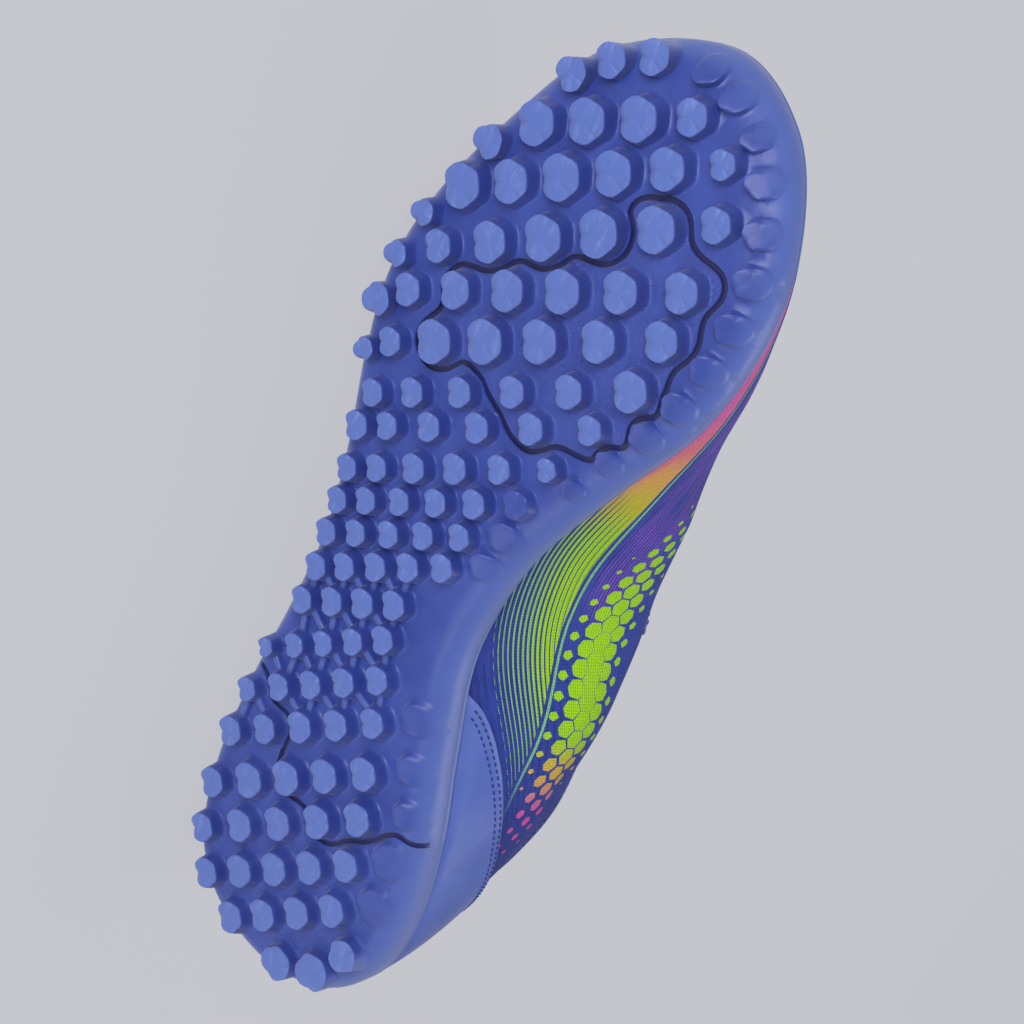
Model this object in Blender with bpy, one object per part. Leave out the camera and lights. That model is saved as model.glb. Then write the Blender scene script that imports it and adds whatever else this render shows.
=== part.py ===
"""A right turf shoe, empty, lying on its lateral side.

Every piece is modelled in the standing shoe's own frame, in metres: x to the lateral side, y from
the heel to the toe, z up from the plane of the stud tips. One empty then lays the shoe down.
"""

import math

import bmesh
import bpy
from mathutils import Matrix, Vector
from mathutils.geometry import delaunay_2d_cdt

# Driving sizes of the shoe
SOLE_LENGTH = 0.285
BALL_WIDTH = 0.103
STUD_HEIGHT = 0.0045
TREAD_THICKNESS = 0.0050
SIDE_HEIGHT = 0.0155
ROLL_RISE = 0.65
TOE_SPRING = 0.012
TOE_SPRING_START = 0.66
HEEL_LIFT = 0.0015
HEEL_LIFT_END = 0.09
HEEL_LIP_RISE = 0.0015
HEEL_LIP_END = 0.5
LIP_WIDTH = 0.0016
COLLAR_HEIGHT = 0.076
UPPER_WALL = 0.0018
COUNTER_WALL = 0.0010
BINDING_RADIUS = 0.0019
TONGUE_THICKNESS = 0.0030
INSOLE_THICKNESS = 0.0035
EYESTAY_THICKNESS = 0.0009
EYELET_RADIUS = 0.0019
EYELET_PAIRS = 5
LACE_WIDTH = 0.0038
LACE_THICKNESS = 0.0018
LACE_CROWN = 0.0008
CLEARANCE = 0.0003
PANEL_GAP = 0.0004

# Studs: the largest base, how much of the gap to its neighbour a base fills, and its taper
STUD_BASE = 0.0138
STUD_FILL = 0.88
ROW_SHARE = 0.12
STUD_DRAFT = 0.0012
RING_DRAFT = 0.0009
STUD_SIDES = 6
STUD_EDGE_MARGIN = 0.0006

# How finely the solids are faceted
SIDE_STATIONS = 34
PROFILE_ROWS = 9
ROLL_STEPS = 3

# Weight per volume, in kg per cubic metre, for the balance of the resting pose
DENSITIES = {"outsole": 1150, "insole": 250, "tongue": 350}
DENSITY_ELSEWHERE = 700

# The sole's edge seen from above, medial side then lateral side, from the heel's back to the toe's
# tip: x as a share of BALL_WIDTH, y as a share of SOLE_LENGTH
MEDIAL_EDGE = (
    ("heel back", 0.000, 0.000),
    ("heel corner", -0.205, 0.021),
    ("heel side", -0.325, 0.075),
    ("heel widest", -0.357, 0.150),
    ("heel front", -0.330, 0.232),
    ("arch back", -0.268, 0.318),
    ("waist", -0.215, 0.415),
    ("arch front", -0.262, 0.520),
    ("ball back", -0.405, 0.625),
    ("ball", -0.540, 0.715),
    ("big toe joint", -0.588, 0.808),
    ("big toe side", -0.545, 0.890),
    ("toe corner", -0.405, 0.965),
    ("toe tip", -0.165, 1.000),
)
LATERAL_EDGE = (
    ("heel back", 0.000, 0.000),
    ("heel corner", 0.210, 0.021),
    ("heel side", 0.340, 0.075),
    ("heel widest", 0.385, 0.160),
    ("heel front", 0.372, 0.260),
    ("arch back", 0.335, 0.360),
    ("waist", 0.318, 0.440),
    ("arch front", 0.345, 0.525),
    ("ball back", 0.395, 0.610),
    ("ball", 0.418, 0.690),
    ("little toe", 0.385, 0.765),
    ("toe side", 0.278, 0.862),
    ("toe corner", 0.120, 0.955),
    ("toe tip", -0.165, 1.000),
)

# How far the sole's edge is rolled in towards the tread: share of its side height, by share of length
ROLL_WIDTH = (
    ("heel back", 0.00, 0.30, 0.30),
    ("heel", 0.15, 0.42, 0.30),
    ("waist", 0.42, 0.50, 0.30),
    ("ball", 0.72, 0.80, 0.35),
    ("toe side", 0.90, 0.80, 0.45),
    ("toe tip", 1.00, 0.60, 0.60),
)

# The upper's top line and ridge, by station (share of the way round one side from heel to toe):
# y as a share of SOLE_LENGTH, medial and lateral x as shares of BALL_WIDTH, height as a share of
# COLLAR_HEIGHT, and how far the wall arches over (0 to 1)
TOP_LINE = (
    ("heel back", 0.000, 0.030, 0.000, 0.000, 1.000, 0.00),
    ("heel turn", 0.045, 0.041, -0.120, 0.145, 0.998, 0.00),
    ("heel side", 0.100, 0.080, -0.190, 0.232, 0.985, 0.00),
    ("ankle back", 0.170, 0.135, -0.258, 0.285, 0.958, 0.00),
    ("ankle", 0.250, 0.208, -0.318, 0.308, 0.935, 0.00),
    ("ankle front", 0.330, 0.285, -0.328, 0.300, 0.945, 0.06),
    ("collar rise", 0.400, 0.345, -0.312, 0.268, 1.020, 0.22),
    ("collar front", 0.460, 0.393, -0.250, 0.200, 1.125, 0.46),
    ("throat top", 0.520, 0.448, -0.155, 0.107, 1.125, 0.68),
    ("throat", 0.600, 0.525, -0.157, 0.053, 1.026, 0.84),
    ("throat low", 0.680, 0.602, -0.174, 0.002, 0.895, 0.95),
    ("throat end", 0.740, 0.662, -0.162, -0.062, 0.805, 1.00),
    ("vamp", 0.775, 0.698, -0.128, -0.128, 0.756, 1.00),
    ("toe back", 0.850, 0.768, -0.152, -0.152, 0.668, 1.00),
    ("toe box", 0.925, 0.838, -0.170, -0.170, 0.600, 0.94),
    ("toe front", 1.000, 0.900, -0.172, -0.172, 0.540, 0.72),
)
VAMP_STATION = 0.775
COLLAR_STATION = 0.460

# How far the wall swells past the line from lip to top line, as shares of BALL_WIDTH, and at which
# share of its height it swells most: medial side, then lateral side
SWELL = (
    ("heel back", 0.00, 0.030, 0.40, 0.030, 0.40),
    ("heel side", 0.12, 0.018, 0.40, 0.033, 0.50),
    ("heel front", 0.20, 0.040, 0.50, 0.038, 0.50),
    ("ankle", 0.28, 0.075, 0.55, 0.048, 0.50),
    ("arch back", 0.36, 0.118, 0.60, 0.060, 0.45),
    ("arch", 0.45, 0.124, 0.60, 0.060, 0.45),
    ("throat top", 0.52, 0.155, 0.60, 0.060, 0.45),
    ("ball back", 0.60, 0.112, 0.56, 0.058, 0.42),
    ("ball", 0.68, 0.022, 0.48, 0.053, 0.40),
    ("toe box", 0.80, -0.015, 0.40, 0.025, 0.38),
    ("toe", 1.00, 0.000, 0.40, 0.000, 0.38),
)

# Stud rows: x and y of the lateral and of the medial end (shares of BALL_WIDTH and SOLE_LENGTH),
# count, and how strongly the steps grow towards the medial side (1 is even)
STUD_ROWS = (
    ("toe 1", 0.146, 0.879, -0.218, 0.944, 4, 1.00),
    ("toe 2", 0.262, 0.801, -0.345, 0.923, 6, 1.00),
    ("toe 3", 0.255, 0.744, -0.400, 0.879, 6, 1.00),
    ("ball 1", 0.290, 0.695, -0.400, 0.818, 6, 1.04),
    ("ball 2", 0.284, 0.644, -0.408, 0.775, 6, 1.08),
    ("ball 3", 0.279, 0.593, -0.390, 0.725, 6, 1.12),
    ("ball 4", 0.290, 0.557, -0.334, 0.677, 6, 1.22),
    ("arch 1", 0.272, 0.516, -0.269, 0.625, 6, 1.15),
    ("arch 2", 0.265, 0.483, -0.223, 0.580, 6, 1.10),
    ("arch 3", 0.262, 0.449, -0.214, 0.544, 6, 1.06),
    ("arch 4", 0.254, 0.413, -0.194, 0.509, 6, 1.05),
    ("arch 5", 0.258, 0.375, -0.010, 0.429, 4, 1.00),
    ("heel 1", 0.312, 0.309, -0.018, 0.393, 5, 1.00),
    ("heel 2", 0.322, 0.258, -0.047, 0.355, 5, 1.00),
    ("heel 3", 0.325, 0.208, -0.184, 0.342, 6, 1.00),
    ("heel 4", 0.322, 0.147, -0.223, 0.295, 6, 1.00),
    ("heel 5", 0.300, 0.097, -0.260, 0.252, 6, 1.00),
    ("heel 6", 0.236, 0.057, -0.269, 0.201, 6, 1.00),
    ("heel 7", 0.112, 0.034, -0.279, 0.151, 5, 1.00),
)

# Stud runs that follow the edge: side (-1 medial, 1 lateral), first and last station (share of the
# way from the heel's back to the toe's tip), count, distance of the centres from the edge in metres
EDGE_RUNS = (
    ("little toe", 1, 0.598, 0.724, 4, 0.0052),
    ("toe side", 1, 0.802, 0.802, 1, 0.0052),
    ("toe tip", 1, 0.886, 0.960, 3, 0.0052),
    ("big toe", -1, 0.994, 0.590, 12, 0.0052),
    ("heel back", -1, 0.030, 0.130, 3, 0.0072),
)

# The studs on the rolled medial edge are low and follow its curve: how far they stand out of it,
# full up to the near distance from the edge and gone at the far one
LOW_STUD_RELIEF = 0.0013
LOW_STUD_NEAR = 0.0075
LOW_STUD_FAR = 0.0125
LOW_STUD_START = 0.105

# A point of the rolled edge is left out this near a stud's centre, as a share of the stud's base
RING_POINT_SHARE = 0.66

# Colour (red, green, blue) and roughness of each piece
COLOURS = {
    "outsole": (0.085, 0.135, 0.46, 0.45),
    "upper": (0.055, 0.085, 0.40, 0.70),
    "heel_counter": (0.075, 0.115, 0.44, 0.42),
    "collar_binding": (0.10, 0.14, 0.46, 0.75),
    "tongue": (0.055, 0.085, 0.40, 0.80),
    "insole": (0.04, 0.05, 0.20, 0.85),
    "eyestay_medial": (0.07, 0.10, 0.42, 0.50),
    "eyestay_lateral": (0.07, 0.10, 0.42, 0.50),
    "laces": (0.10, 0.14, 0.48, 0.80),
}


def clamp(value, low=0.0, high=1.0):
    return max(low, min(high, value))


def smooth(value):
    """0 to 1 with soft ends."""
    value = clamp(value)
    return value * value * (3 - 2 * value)


def catmull(a, b, c, d, t):
    """The point at t between b and c on the curve through a, b, c and d."""
    return 0.5 * ((2 * b) + (c - a) * t + (2 * a - 5 * b + 4 * c - d) * t * t
                  + (3 * b - a - 3 * c + d) * t ** 3)


def read_table(rows, at, column):
    """The smooth value of one column of a table whose second column is its station."""
    stations = [row[1] for row in rows]
    at = clamp(at, stations[0], stations[-1])
    k = max(i for i in range(len(rows) - 1) if stations[i] <= at)
    here, after = rows[k], rows[k + 1]
    span = after[1] - here[1]
    t = (at - here[1]) / span

    def slope(i):
        low, high = rows[max(i - 1, 0)], rows[min(i + 1, len(rows) - 1)]
        return (high[column] - low[column]) / (high[1] - low[1])

    rise = after[column] - here[column]
    first, last = slope(k) * span, slope(k + 1) * span
    return here[column] + first * t + (3 * rise - 2 * first - last) * t * t + (first + last - 2 * rise) * t ** 3


def edge_curve(rows, other_rows, steps=16):
    """Points of one side of the outline, with their distance from the heel's back."""
    points = [Vector((row[1] * BALL_WIDTH, row[2] * SOLE_LENGTH)) for row in rows]
    before = Vector((other_rows[1][1] * BALL_WIDTH, other_rows[1][2] * SOLE_LENGTH))
    beyond = Vector((other_rows[-2][1] * BALL_WIDTH, other_rows[-2][2] * SOLE_LENGTH))
    chain = [before] + points + [beyond]
    curve = []
    for k in range(1, len(chain) - 2):
        for step in range(steps):
            curve.append(catmull(*chain[k - 1:k + 3], step / steps))
    curve.append(points[-1])
    lengths = [0.0]
    for a, b in zip(curve, curve[1:]):
        lengths.append(lengths[-1] + (b - a).length)
    return curve, lengths


EDGES = {-1: edge_curve(MEDIAL_EDGE, LATERAL_EDGE), 1: edge_curve(LATERAL_EDGE, MEDIAL_EDGE)}


def edge_point(side, station):
    """The outline's point at a share of the way from heel to toe along one side."""
    curve, lengths = EDGES[side]
    target = clamp(station) * lengths[-1]
    k = 0
    while k < len(curve) - 2 and lengths[k + 1] < target:
        k += 1
    share = (target - lengths[k]) / (lengths[k + 1] - lengths[k])
    return curve[k].lerp(curve[k + 1], share)


def edge_normal(side, station):
    """The outline's outward direction in plan."""
    step = 0.004
    back, ahead = station - step, station + step
    first = edge_point(side, back) if back > 0 else edge_point(-side, -back)
    last = edge_point(side, ahead) if ahead < 1 else edge_point(-side, 2 - ahead)
    along = (last - first).normalized()
    return Vector((along.y, -along.x)) * side


def inset_point(side, station, inset):
    return edge_point(side, station) - edge_normal(side, station) * inset


def spring(y):
    """How far the tread rises off the ground at the toe and at the back of the heel."""
    share = y / SOLE_LENGTH
    toe = TOE_SPRING * clamp((share - TOE_SPRING_START) / (1 - TOE_SPRING_START)) ** 2
    heel = HEEL_LIFT * clamp((HEEL_LIFT_END - share) / HEEL_LIFT_END) ** 2
    return toe + heel


def lip_top(y):
    """Height of the sole's top edge."""
    share = y / SOLE_LENGTH
    return spring(y) + SIDE_HEIGHT + HEEL_LIP_RISE * (1 - smooth(share / HEEL_LIP_END))


def footbed(y):
    """Height of the face that the upper and the insole stand on."""
    return spring(y) + STUD_HEIGHT + TREAD_THICKNESS


def roll_width(side, y):
    column = 2 if side < 0 else 3
    return read_table(ROLL_WIDTH, y / SOLE_LENGTH, column) * SIDE_HEIGHT


def side_of_edge(point):
    """(distance inside the outline, side, station) of a plan point."""
    best = (1e9, 1, 0.0)
    for side, (curve, lengths) in EDGES.items():
        for k in range(len(curve) - 1):
            a, b = curve[k], curve[k + 1]
            along = b - a
            share = clamp((point - a).dot(along) / max(along.length_squared, 1e-18))
            gap = (point - a - along * share).length
            if gap < best[0]:
                best = (gap, side, (lengths[k] + share * along.length) / lengths[-1])
    return best


def tread_base(point):
    """Height of the rubber between the studs, rolled up towards the edge."""
    gap, side, _ = side_of_edge(point)
    width = roll_width(side, point.y)
    flat = spring(point.y) + STUD_HEIGHT
    if gap >= width:
        return flat
    drop = 1 - math.sqrt(max(0.0, 1 - ((width - gap) / width) ** 2))
    return flat + drop * ROLL_RISE * (SIDE_HEIGHT - STUD_HEIGHT)


def stud_places():
    """(plan position, direction of its row, whether it stands on the rolled edge) of every stud."""
    places = []
    for _, x0, y0, x1, y1, count, growth in STUD_ROWS:
        first = Vector((x0 * BALL_WIDTH, y0 * SOLE_LENGTH))
        last = Vector((x1 * BALL_WIDTH, y1 * SOLE_LENGTH))
        row = math.atan2(last.y - first.y, last.x - first.x)
        for k in range(count):
            places.append((first.lerp(last, (k / (count - 1)) ** growth), row, False))
    for _, side, first, last, count, inset in EDGE_RUNS:
        for k in range(count):
            station = first + (last - first) * k / max(count - 1, 1)
            out = edge_normal(side, station)
            places.append((inset_point(side, station, inset), math.atan2(out.x, -out.y), True))
    return places


def stud_sizes(places):
    """Each stud's base across its flats: as wide as its neighbours and the sole's edge let it be."""
    sizes = []
    for k, (here, _, on_edge) in enumerate(places):
        shares = [
            (here - other).length * (1 + ROW_SHARE * (other_on_edge - on_edge))
            for j, (other, _, other_on_edge) in enumerate(places)
            if j != k
        ]
        gap = side_of_edge(here)[0]
        room = 2 * (gap - STUD_EDGE_MARGIN) * math.cos(math.pi / STUD_SIDES)
        sizes.append(min(STUD_BASE, min(shares) * STUD_FILL, room))
    return sizes


def stud_lowness(centre):
    """1 for a low stud on the rolled medial edge, 0 for one that stands on the ground."""
    gap, side, _ = side_of_edge(centre)
    if side > 0 or centre.y < LOW_STUD_START * SOLE_LENGTH:
        return 0.0
    return 1 - smooth((gap - LOW_STUD_NEAR) / (LOW_STUD_FAR - LOW_STUD_NEAR))


def tip_height(point, centre, lowness):
    """Height of a stud's tip at one of its points."""
    ground = spring(centre.y)
    low = max(ground, tread_base(point) - LOW_STUD_RELIEF)
    return ground + (low - ground) * lowness


def stud_ring(centre, across, row):
    """The corners of a hexagon with two of its flats square to its row."""
    radius = across / 2 / math.cos(math.pi / STUD_SIDES)
    angles = [row + math.pi * (2 * k + 1) / STUD_SIDES for k in range(STUD_SIDES)]
    return [centre + Vector((math.cos(a), math.sin(a))) * radius for a in angles]


def new_object(name, bm):
    """One closed solid in the shoe's frame, with its own material."""
    bmesh.ops.remove_doubles(bm, verts=bm.verts, dist=1e-7)
    bmesh.ops.recalc_face_normals(bm, faces=bm.faces)
    bmesh.ops.triangulate(bm, faces=[face for face in bm.faces if len(face.verts) > 4])
    mesh = bpy.data.meshes.new(name)
    bm.to_mesh(mesh)
    bm.free()
    mesh.shade_smooth()
    mesh.set_sharp_from_angle(angle=math.radians(35))
    obj = bpy.data.objects.new(name, mesh)
    bpy.context.scene.collection.objects.link(obj)
    red, green, blue, roughness = COLOURS[name]
    material = bpy.data.materials.new(name)
    material.use_nodes = True
    shader = material.node_tree.nodes["Principled BSDF"]
    shader.inputs["Base Color"].default_value = (red, green, blue, 1)
    shader.inputs["Roughness"].default_value = roughness
    shader.inputs["Metallic"].default_value = 0.0
    mesh.materials.append(material)
    return obj


def outline_stations():
    """(side, station) all round the outline, from the heel's back by the medial side and home."""
    out = [(-1, k / SIDE_STATIONS) for k in range(SIDE_STATIONS + 1)]
    back = [(1, k / SIDE_STATIONS) for k in range(SIDE_STATIONS - 1, 0, -1)]
    return out + back


def build_outsole():
    """The rubber: a rolled tread with its studs, the side wall, the lip and the footbed."""
    stations = outline_stations()
    count = len(stations)
    places = stud_places()
    sizes = stud_sizes(places)

    # The tread in plan: the outline, the rings of the rolled edge and the feet of the studs
    plan = [edge_point(*at) for at in stations]
    edges = [(k, (k + 1) % count) for k in range(count)]
    feet = []
    for (centre, row, _), across in zip(places, sizes):
        first = len(plan)
        plan.extend(stud_ring(centre, across, row))
        ring = list(range(first, first + STUD_SIDES))
        feet.append(ring)
        edges.extend((ring[k], ring[(k + 1) % STUD_SIDES]) for k in range(STUD_SIDES))
    for step in range(1, ROLL_STEPS + 1):
        for side, station in stations:
            width = roll_width(side, edge_point(side, station).y)
            inset = width * (1 - math.cos(math.pi / 2 * step / ROLL_STEPS))
            point = inset_point(side, station, inset)
            clear = all((point - place[0]).length > across * RING_POINT_SHARE
                        for place, across in zip(places, sizes))
            if clear:
                plan.append(point)
    verts, _, faces, origins, _, _ = delaunay_2d_cdt(plan, edges, [], 1, 1e-7)
    where = {}
    for new, olds in enumerate(origins):
        for old in olds:
            where[old] = new
    feet = [[where[k] for k in ring] for ring in feet]
    rim = [where[k] for k in range(count)]

    bm = bmesh.new()
    bottom = [bm.verts.new((v.x, v.y, tread_base(v))) for v in verts]
    members = {}
    for index, ring in enumerate(feet):
        for corner in ring:
            members.setdefault(corner, set()).add(index)
    for face in faces:
        shared = set.intersection(*[members.get(v, set()) for v in face])
        if not shared:
            bm.faces.new([bottom[v] for v in reversed(face)])

    # Each stud rises from its foot to a flat tip
    for (centre, row, on_edge), across, ring in zip(places, sizes, feet):
        tip_across = across - 2 * (RING_DRAFT if on_edge else STUD_DRAFT)
        lowness = stud_lowness(centre)
        corners = stud_ring(centre, tip_across, row)
        tip = [bm.verts.new((p.x, p.y, tip_height(p, centre, lowness))) for p in corners]
        foot = [bottom[v] for v in ring]
        for k in range(STUD_SIDES):
            after = (k + 1) % STUD_SIDES
            bm.faces.new((foot[k], foot[after], tip[after], tip[k]))
        bm.faces.new(tip)

    # The side wall, the lip and the step down to the footbed
    def loop(inset, height):
        made = []
        for side, station in stations:
            p = inset_point(side, station, inset)
            made.append(bm.verts.new((p.x, p.y, height(edge_point(side, station).y))))
        return made

    loops = [
        [bottom[v] for v in rim],
        loop(0.0, lip_top),
        loop(LIP_WIDTH, lip_top),
        loop(LIP_WIDTH, footbed),
    ]
    for low, high in zip(loops, loops[1:]):
        for k in range(count):
            after = (k + 1) % count
            bm.faces.new((low[k], low[after], high[after], high[k]))

    # The footbed: strips from the medial to the lateral side
    bed = loops[-1]
    for k in range(SIDE_STATIONS):
        here, after = bed[k], bed[k + 1]
        other_here, other_after = bed[-k] if k else bed[0], bed[-(k + 1)]
        corners = [here, after, other_after, other_here]
        unique = list(dict.fromkeys(corners))
        bm.faces.new(unique)
    return new_object("outsole", bm)


def top_point(side, station):
    """The top line's point, or the ridge's where the upper is closed."""
    y = read_table(TOP_LINE, station, 2) * SOLE_LENGTH
    x = read_table(TOP_LINE, station, 3 if side < 0 or station >= VAMP_STATION else 4) * BALL_WIDTH
    return Vector((x, y, read_table(TOP_LINE, station, 5) * COLLAR_HEIGHT))


def upper_point(side, station, share):
    """The upper's outer surface: share 0 is at the lip's top, 1 at the top line or ridge."""
    seat = inset_point(side, station, LIP_WIDTH + CLEARANCE)
    low = Vector((seat.x, seat.y, lip_top(edge_point(side, station).y) + CLEARANCE * 2))
    top = top_point(side, station)
    arch = clamp(read_table(TOP_LINE, station, 6))
    turn = share * math.pi / 2
    over = 1 - math.cos(turn)
    rise = math.sin(turn)
    straight = low.lerp(top, share)
    arched = Vector((low.x + (top.x - low.x) * over, low.y + (top.y - low.y) * over,
                     low.z + (top.z - low.z) * rise))
    point = straight.lerp(arched, arch)
    swell = read_table(SWELL, station, 2 if side < 0 else 4) * BALL_WIDTH
    peak = read_table(SWELL, station, 3 if side < 0 else 5)
    out = edge_normal(side, station) * swell * math.sin(math.pi * share ** (math.log(0.5) / math.log(peak)))
    return point + Vector((out.x, out.y, 0))


def upper_normal(side, station, share):
    """The outer surface's outward direction, from its neighbours on both sides of the point."""
    if share < 0.02:
        out = edge_normal(side, station)
        return Vector((out.x, out.y, 0))
    step = 0.006

    def at(along, up):
        along_side = side
        if along < 0:
            along, along_side = -along, -side
        if along > 1:
            along, along_side = 2 - along, -side
        if up > 1:
            return upper_point(along_side, along, 1.0)
        return upper_point(along_side, along, max(up, 0.0))

    run = at(station + step, share) - at(station - step, share)
    rise = at(station, share + step) - at(station, share - step)
    normal = run.cross(rise)
    if station >= VAMP_STATION and share > 0.999:
        left = upper_point(-1, station, 1 - step * 4)
        right = upper_point(1, station, 1 - step * 4)
        ridge = top_point(1, station + step) - top_point(1, station - step) if station < 1 else (
            top_point(1, 1.0) - top_point(1, 1.0 - step))
        normal = ridge.cross(left - right)
        if normal.z < 0:
            normal = -normal
        return normal.normalized()
    normal = normal * side
    return normal.normalized() if normal.length > 0 else Vector((0, 0, 1))


def skin_point(side, station, share, depth):
    """A point this deep under the upper's outer surface (less than nothing is outside it)."""
    return upper_point(side, station, share) - upper_normal(side, station, share) * depth


def row_shares():
    return [k / PROFILE_ROWS for k in range(PROFILE_ROWS + 1)]


def build_upper():
    """One shell of even wall: closed over the vamp and toe, open at collar, throat and beneath."""
    bm = bmesh.new()
    made = {}
    vamp_index = math.ceil(VAMP_STATION * SIDE_STATIONS)

    def vertex(side, k, row, layer):
        """row -1 is the foot of the wall inside the sole's lip."""
        if k in (0, SIDE_STATIONS):
            side = 1
        if row == PROFILE_ROWS and k >= vamp_index:
            side = 1
        key = (side, k, row, layer)
        if key not in made:
            station = k / SIDE_STATIONS
            depth = UPPER_WALL * layer
            if row < 0:
                p = inset_point(side, station, LIP_WIDTH + CLEARANCE + depth)
                made[key] = bm.verts.new((p.x, p.y, footbed(edge_point(side, station).y) + CLEARANCE))
            elif row == 0:
                p = inset_point(side, station, LIP_WIDTH + CLEARANCE + depth)
                z = lip_top(edge_point(side, station).y) + CLEARANCE * 2
                made[key] = bm.verts.new((p.x, p.y, z))
            else:
                made[key] = bm.verts.new(skin_point(side, station, row / PROFILE_ROWS, depth))
        return made[key]

    def quad(corners):
        unique = list(dict.fromkeys(corners))
        if len(unique) > 2:
            bm.faces.new(unique)

    for side in (-1, 1):
        for k in range(SIDE_STATIONS):
            for row in range(-1, PROFILE_ROWS):
                for layer in (0, 1):
                    quad([vertex(side, k, row, layer), vertex(side, k + 1, row, layer),
                          vertex(side, k + 1, row + 1, layer), vertex(side, k, row + 1, layer)])
            quad([vertex(side, k, -1, 0), vertex(side, k + 1, -1, 0),
                  vertex(side, k + 1, -1, 1), vertex(side, k, -1, 1)])
            if k < vamp_index:
                quad([vertex(side, k, PROFILE_ROWS, 0), vertex(side, k + 1, PROFILE_ROWS, 0),
                      vertex(side, k + 1, PROFILE_ROWS, 1), vertex(side, k, PROFILE_ROWS, 1)])
    return new_object("upper", bm)


def shell_patch(name, grid, near, far):
    """A closed panel over the upper between two depths. grid is rows of (side, station, share)."""
    bm = bmesh.new()
    layers = []
    for depth in (near, far):
        layers.append([[bm.verts.new(skin_point(*at, depth)) for at in line] for line in grid])
    low, high = layers
    rows, columns = len(grid), len(grid[0])
    for r in range(rows - 1):
        for c in range(columns - 1):
            for layer in (low, high):
                bm.faces.new((layer[r][c], layer[r][c + 1], layer[r + 1][c + 1], layer[r + 1][c]))
    border = [(0, c) for c in range(columns)] + [(r, columns - 1) for r in range(1, rows)]
    border += [(rows - 1, c) for c in range(columns - 2, -1, -1)] + [(r, 0) for r in range(rows - 2, 0, -1)]
    for (r0, c0), (r1, c1) in zip(border, border[1:] + border[:1]):
        bm.faces.new((low[r0][c0], low[r1][c1], high[r1][c1], high[r0][c0]))
    return new_object(name, bm)


def stations_between(first, last):
    """The upper's own stations from first to last, with both ends, so that facets stay parallel."""
    inner = [k / SIDE_STATIONS for k in range(SIDE_STATIONS + 1)]
    return [first] + [at for at in inner if first < at < last] + [last]


def shares_between(first, last):
    """The upper's own rows from first to last, with both ends."""
    return [first] + [at for at in row_shares() if first < at < last] + [last]


# The heel counter's front edge: station by share of the wall's height
COUNTER_FRONT = (
    ("lip", 0.00, 0.381),
    ("low", 0.12, 0.362),
    ("lower middle", 0.25, 0.316),
    ("upper middle", 0.40, 0.238),
    ("high", 0.60, 0.152),
    ("top", 0.80, 0.090),
    ("crest", 0.94, 0.055),
)


def build_heel_counter():
    """The smooth heel panel: both sides in one piece round the back."""
    widest = max(row[2] for row in COUNTER_FRONT)
    stations = stations_between(0.0, widest)
    grid = []
    shares = shares_between(COUNTER_FRONT[0][1], COUNTER_FRONT[-1][1])
    # A row between each two of the upper's keeps the slanted front edge clear of its facets
    for share in sorted(shares + [(a + b) / 2 for a, b in zip(shares, shares[1:])]):
        reach = read_table(COUNTER_FRONT, share, 2)
        medial = [(-1, min(at, reach), share) for at in reversed(stations)]
        lateral = [(1, min(at, reach), share) for at in stations[1:]]
        grid.append(medial + lateral)
    return shell_patch("heel_counter", grid, -PANEL_GAP, -PANEL_GAP - COUNTER_WALL)


EYESTAY_BACK_STATION = 0.475
EYESTAY_FRONT_STATION = 0.745
EYESTAY_WIDTH_SHARE = 0.19
EYESTAY_TOP_SHARE = 0.985
EYELET_SHARE = 0.905
EYELET_FIRST_STATION = 0.500
EYELET_LAST_STATION = 0.715
EYELET_CUT_DEPTH = 0.012


def eyelet_station(k):
    return EYELET_FIRST_STATION + (EYELET_LAST_STATION - EYELET_FIRST_STATION) * k / (EYELET_PAIRS - 1)


def build_eyestay(side, name):
    """The strip beside the throat that carries the lace holes."""
    stations = stations_between(EYESTAY_BACK_STATION, EYESTAY_FRONT_STATION)
    shares = shares_between(EYESTAY_TOP_SHARE - EYESTAY_WIDTH_SHARE, EYESTAY_TOP_SHARE)
    grid = [[(side, station, share) for station in stations] for share in shares]
    return shell_patch(name, grid, -PANEL_GAP, -PANEL_GAP - EYESTAY_THICKNESS)


def punch_eyelets(obj, side):
    """Cuts the lace holes through an eyestay or the upper under it."""
    bm = bmesh.new()
    for k in range(EYELET_PAIRS):
        station = eyelet_station(k)
        centre = upper_point(side, station, EYELET_SHARE)
        axis = upper_normal(side, station, EYELET_SHARE)
        turn = axis.to_track_quat("Z", "Y").to_matrix().to_4x4()
        bmesh.ops.create_cone(bm, cap_ends=True, segments=8, radius1=EYELET_RADIUS, radius2=EYELET_RADIUS,
                              depth=EYELET_CUT_DEPTH, matrix=Matrix.Translation(centre) @ turn)
    mesh = bpy.data.meshes.new("eyelet_cutter")
    bm.to_mesh(mesh)
    bm.free()
    cutter = bpy.data.objects.new(f"eyelet_cutter_{obj.name}_{'medial' if side < 0 else 'lateral'}", mesh)
    bpy.context.scene.collection.objects.link(cutter)
    cutter.hide_render = True
    cutter.display_type = "WIRE"
    cut = obj.modifiers.new("eyelets", "BOOLEAN")
    cut.operation = "DIFFERENCE"
    cut.object = cutter
    return cutter


BINDING_SIDES = 6
BINDING_WALL_SHARE = 0.94


def sweep(name, path, ring):
    """A solid that carries a ring of offsets along frames (centre, across, up)."""
    bm = bmesh.new()
    loops = []
    for centre, across, up in path:
        loops.append([bm.verts.new(centre + across * a + up * b) for a, b in ring])
    for low, high in zip(loops, loops[1:]):
        for k in range(len(ring)):
            after = (k + 1) % len(ring)
            bm.faces.new((low[k], low[after], high[after], high[k]))
    bm.faces.new(loops[0])
    bm.faces.new(list(reversed(loops[-1])))
    return new_object(name, bm)


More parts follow.
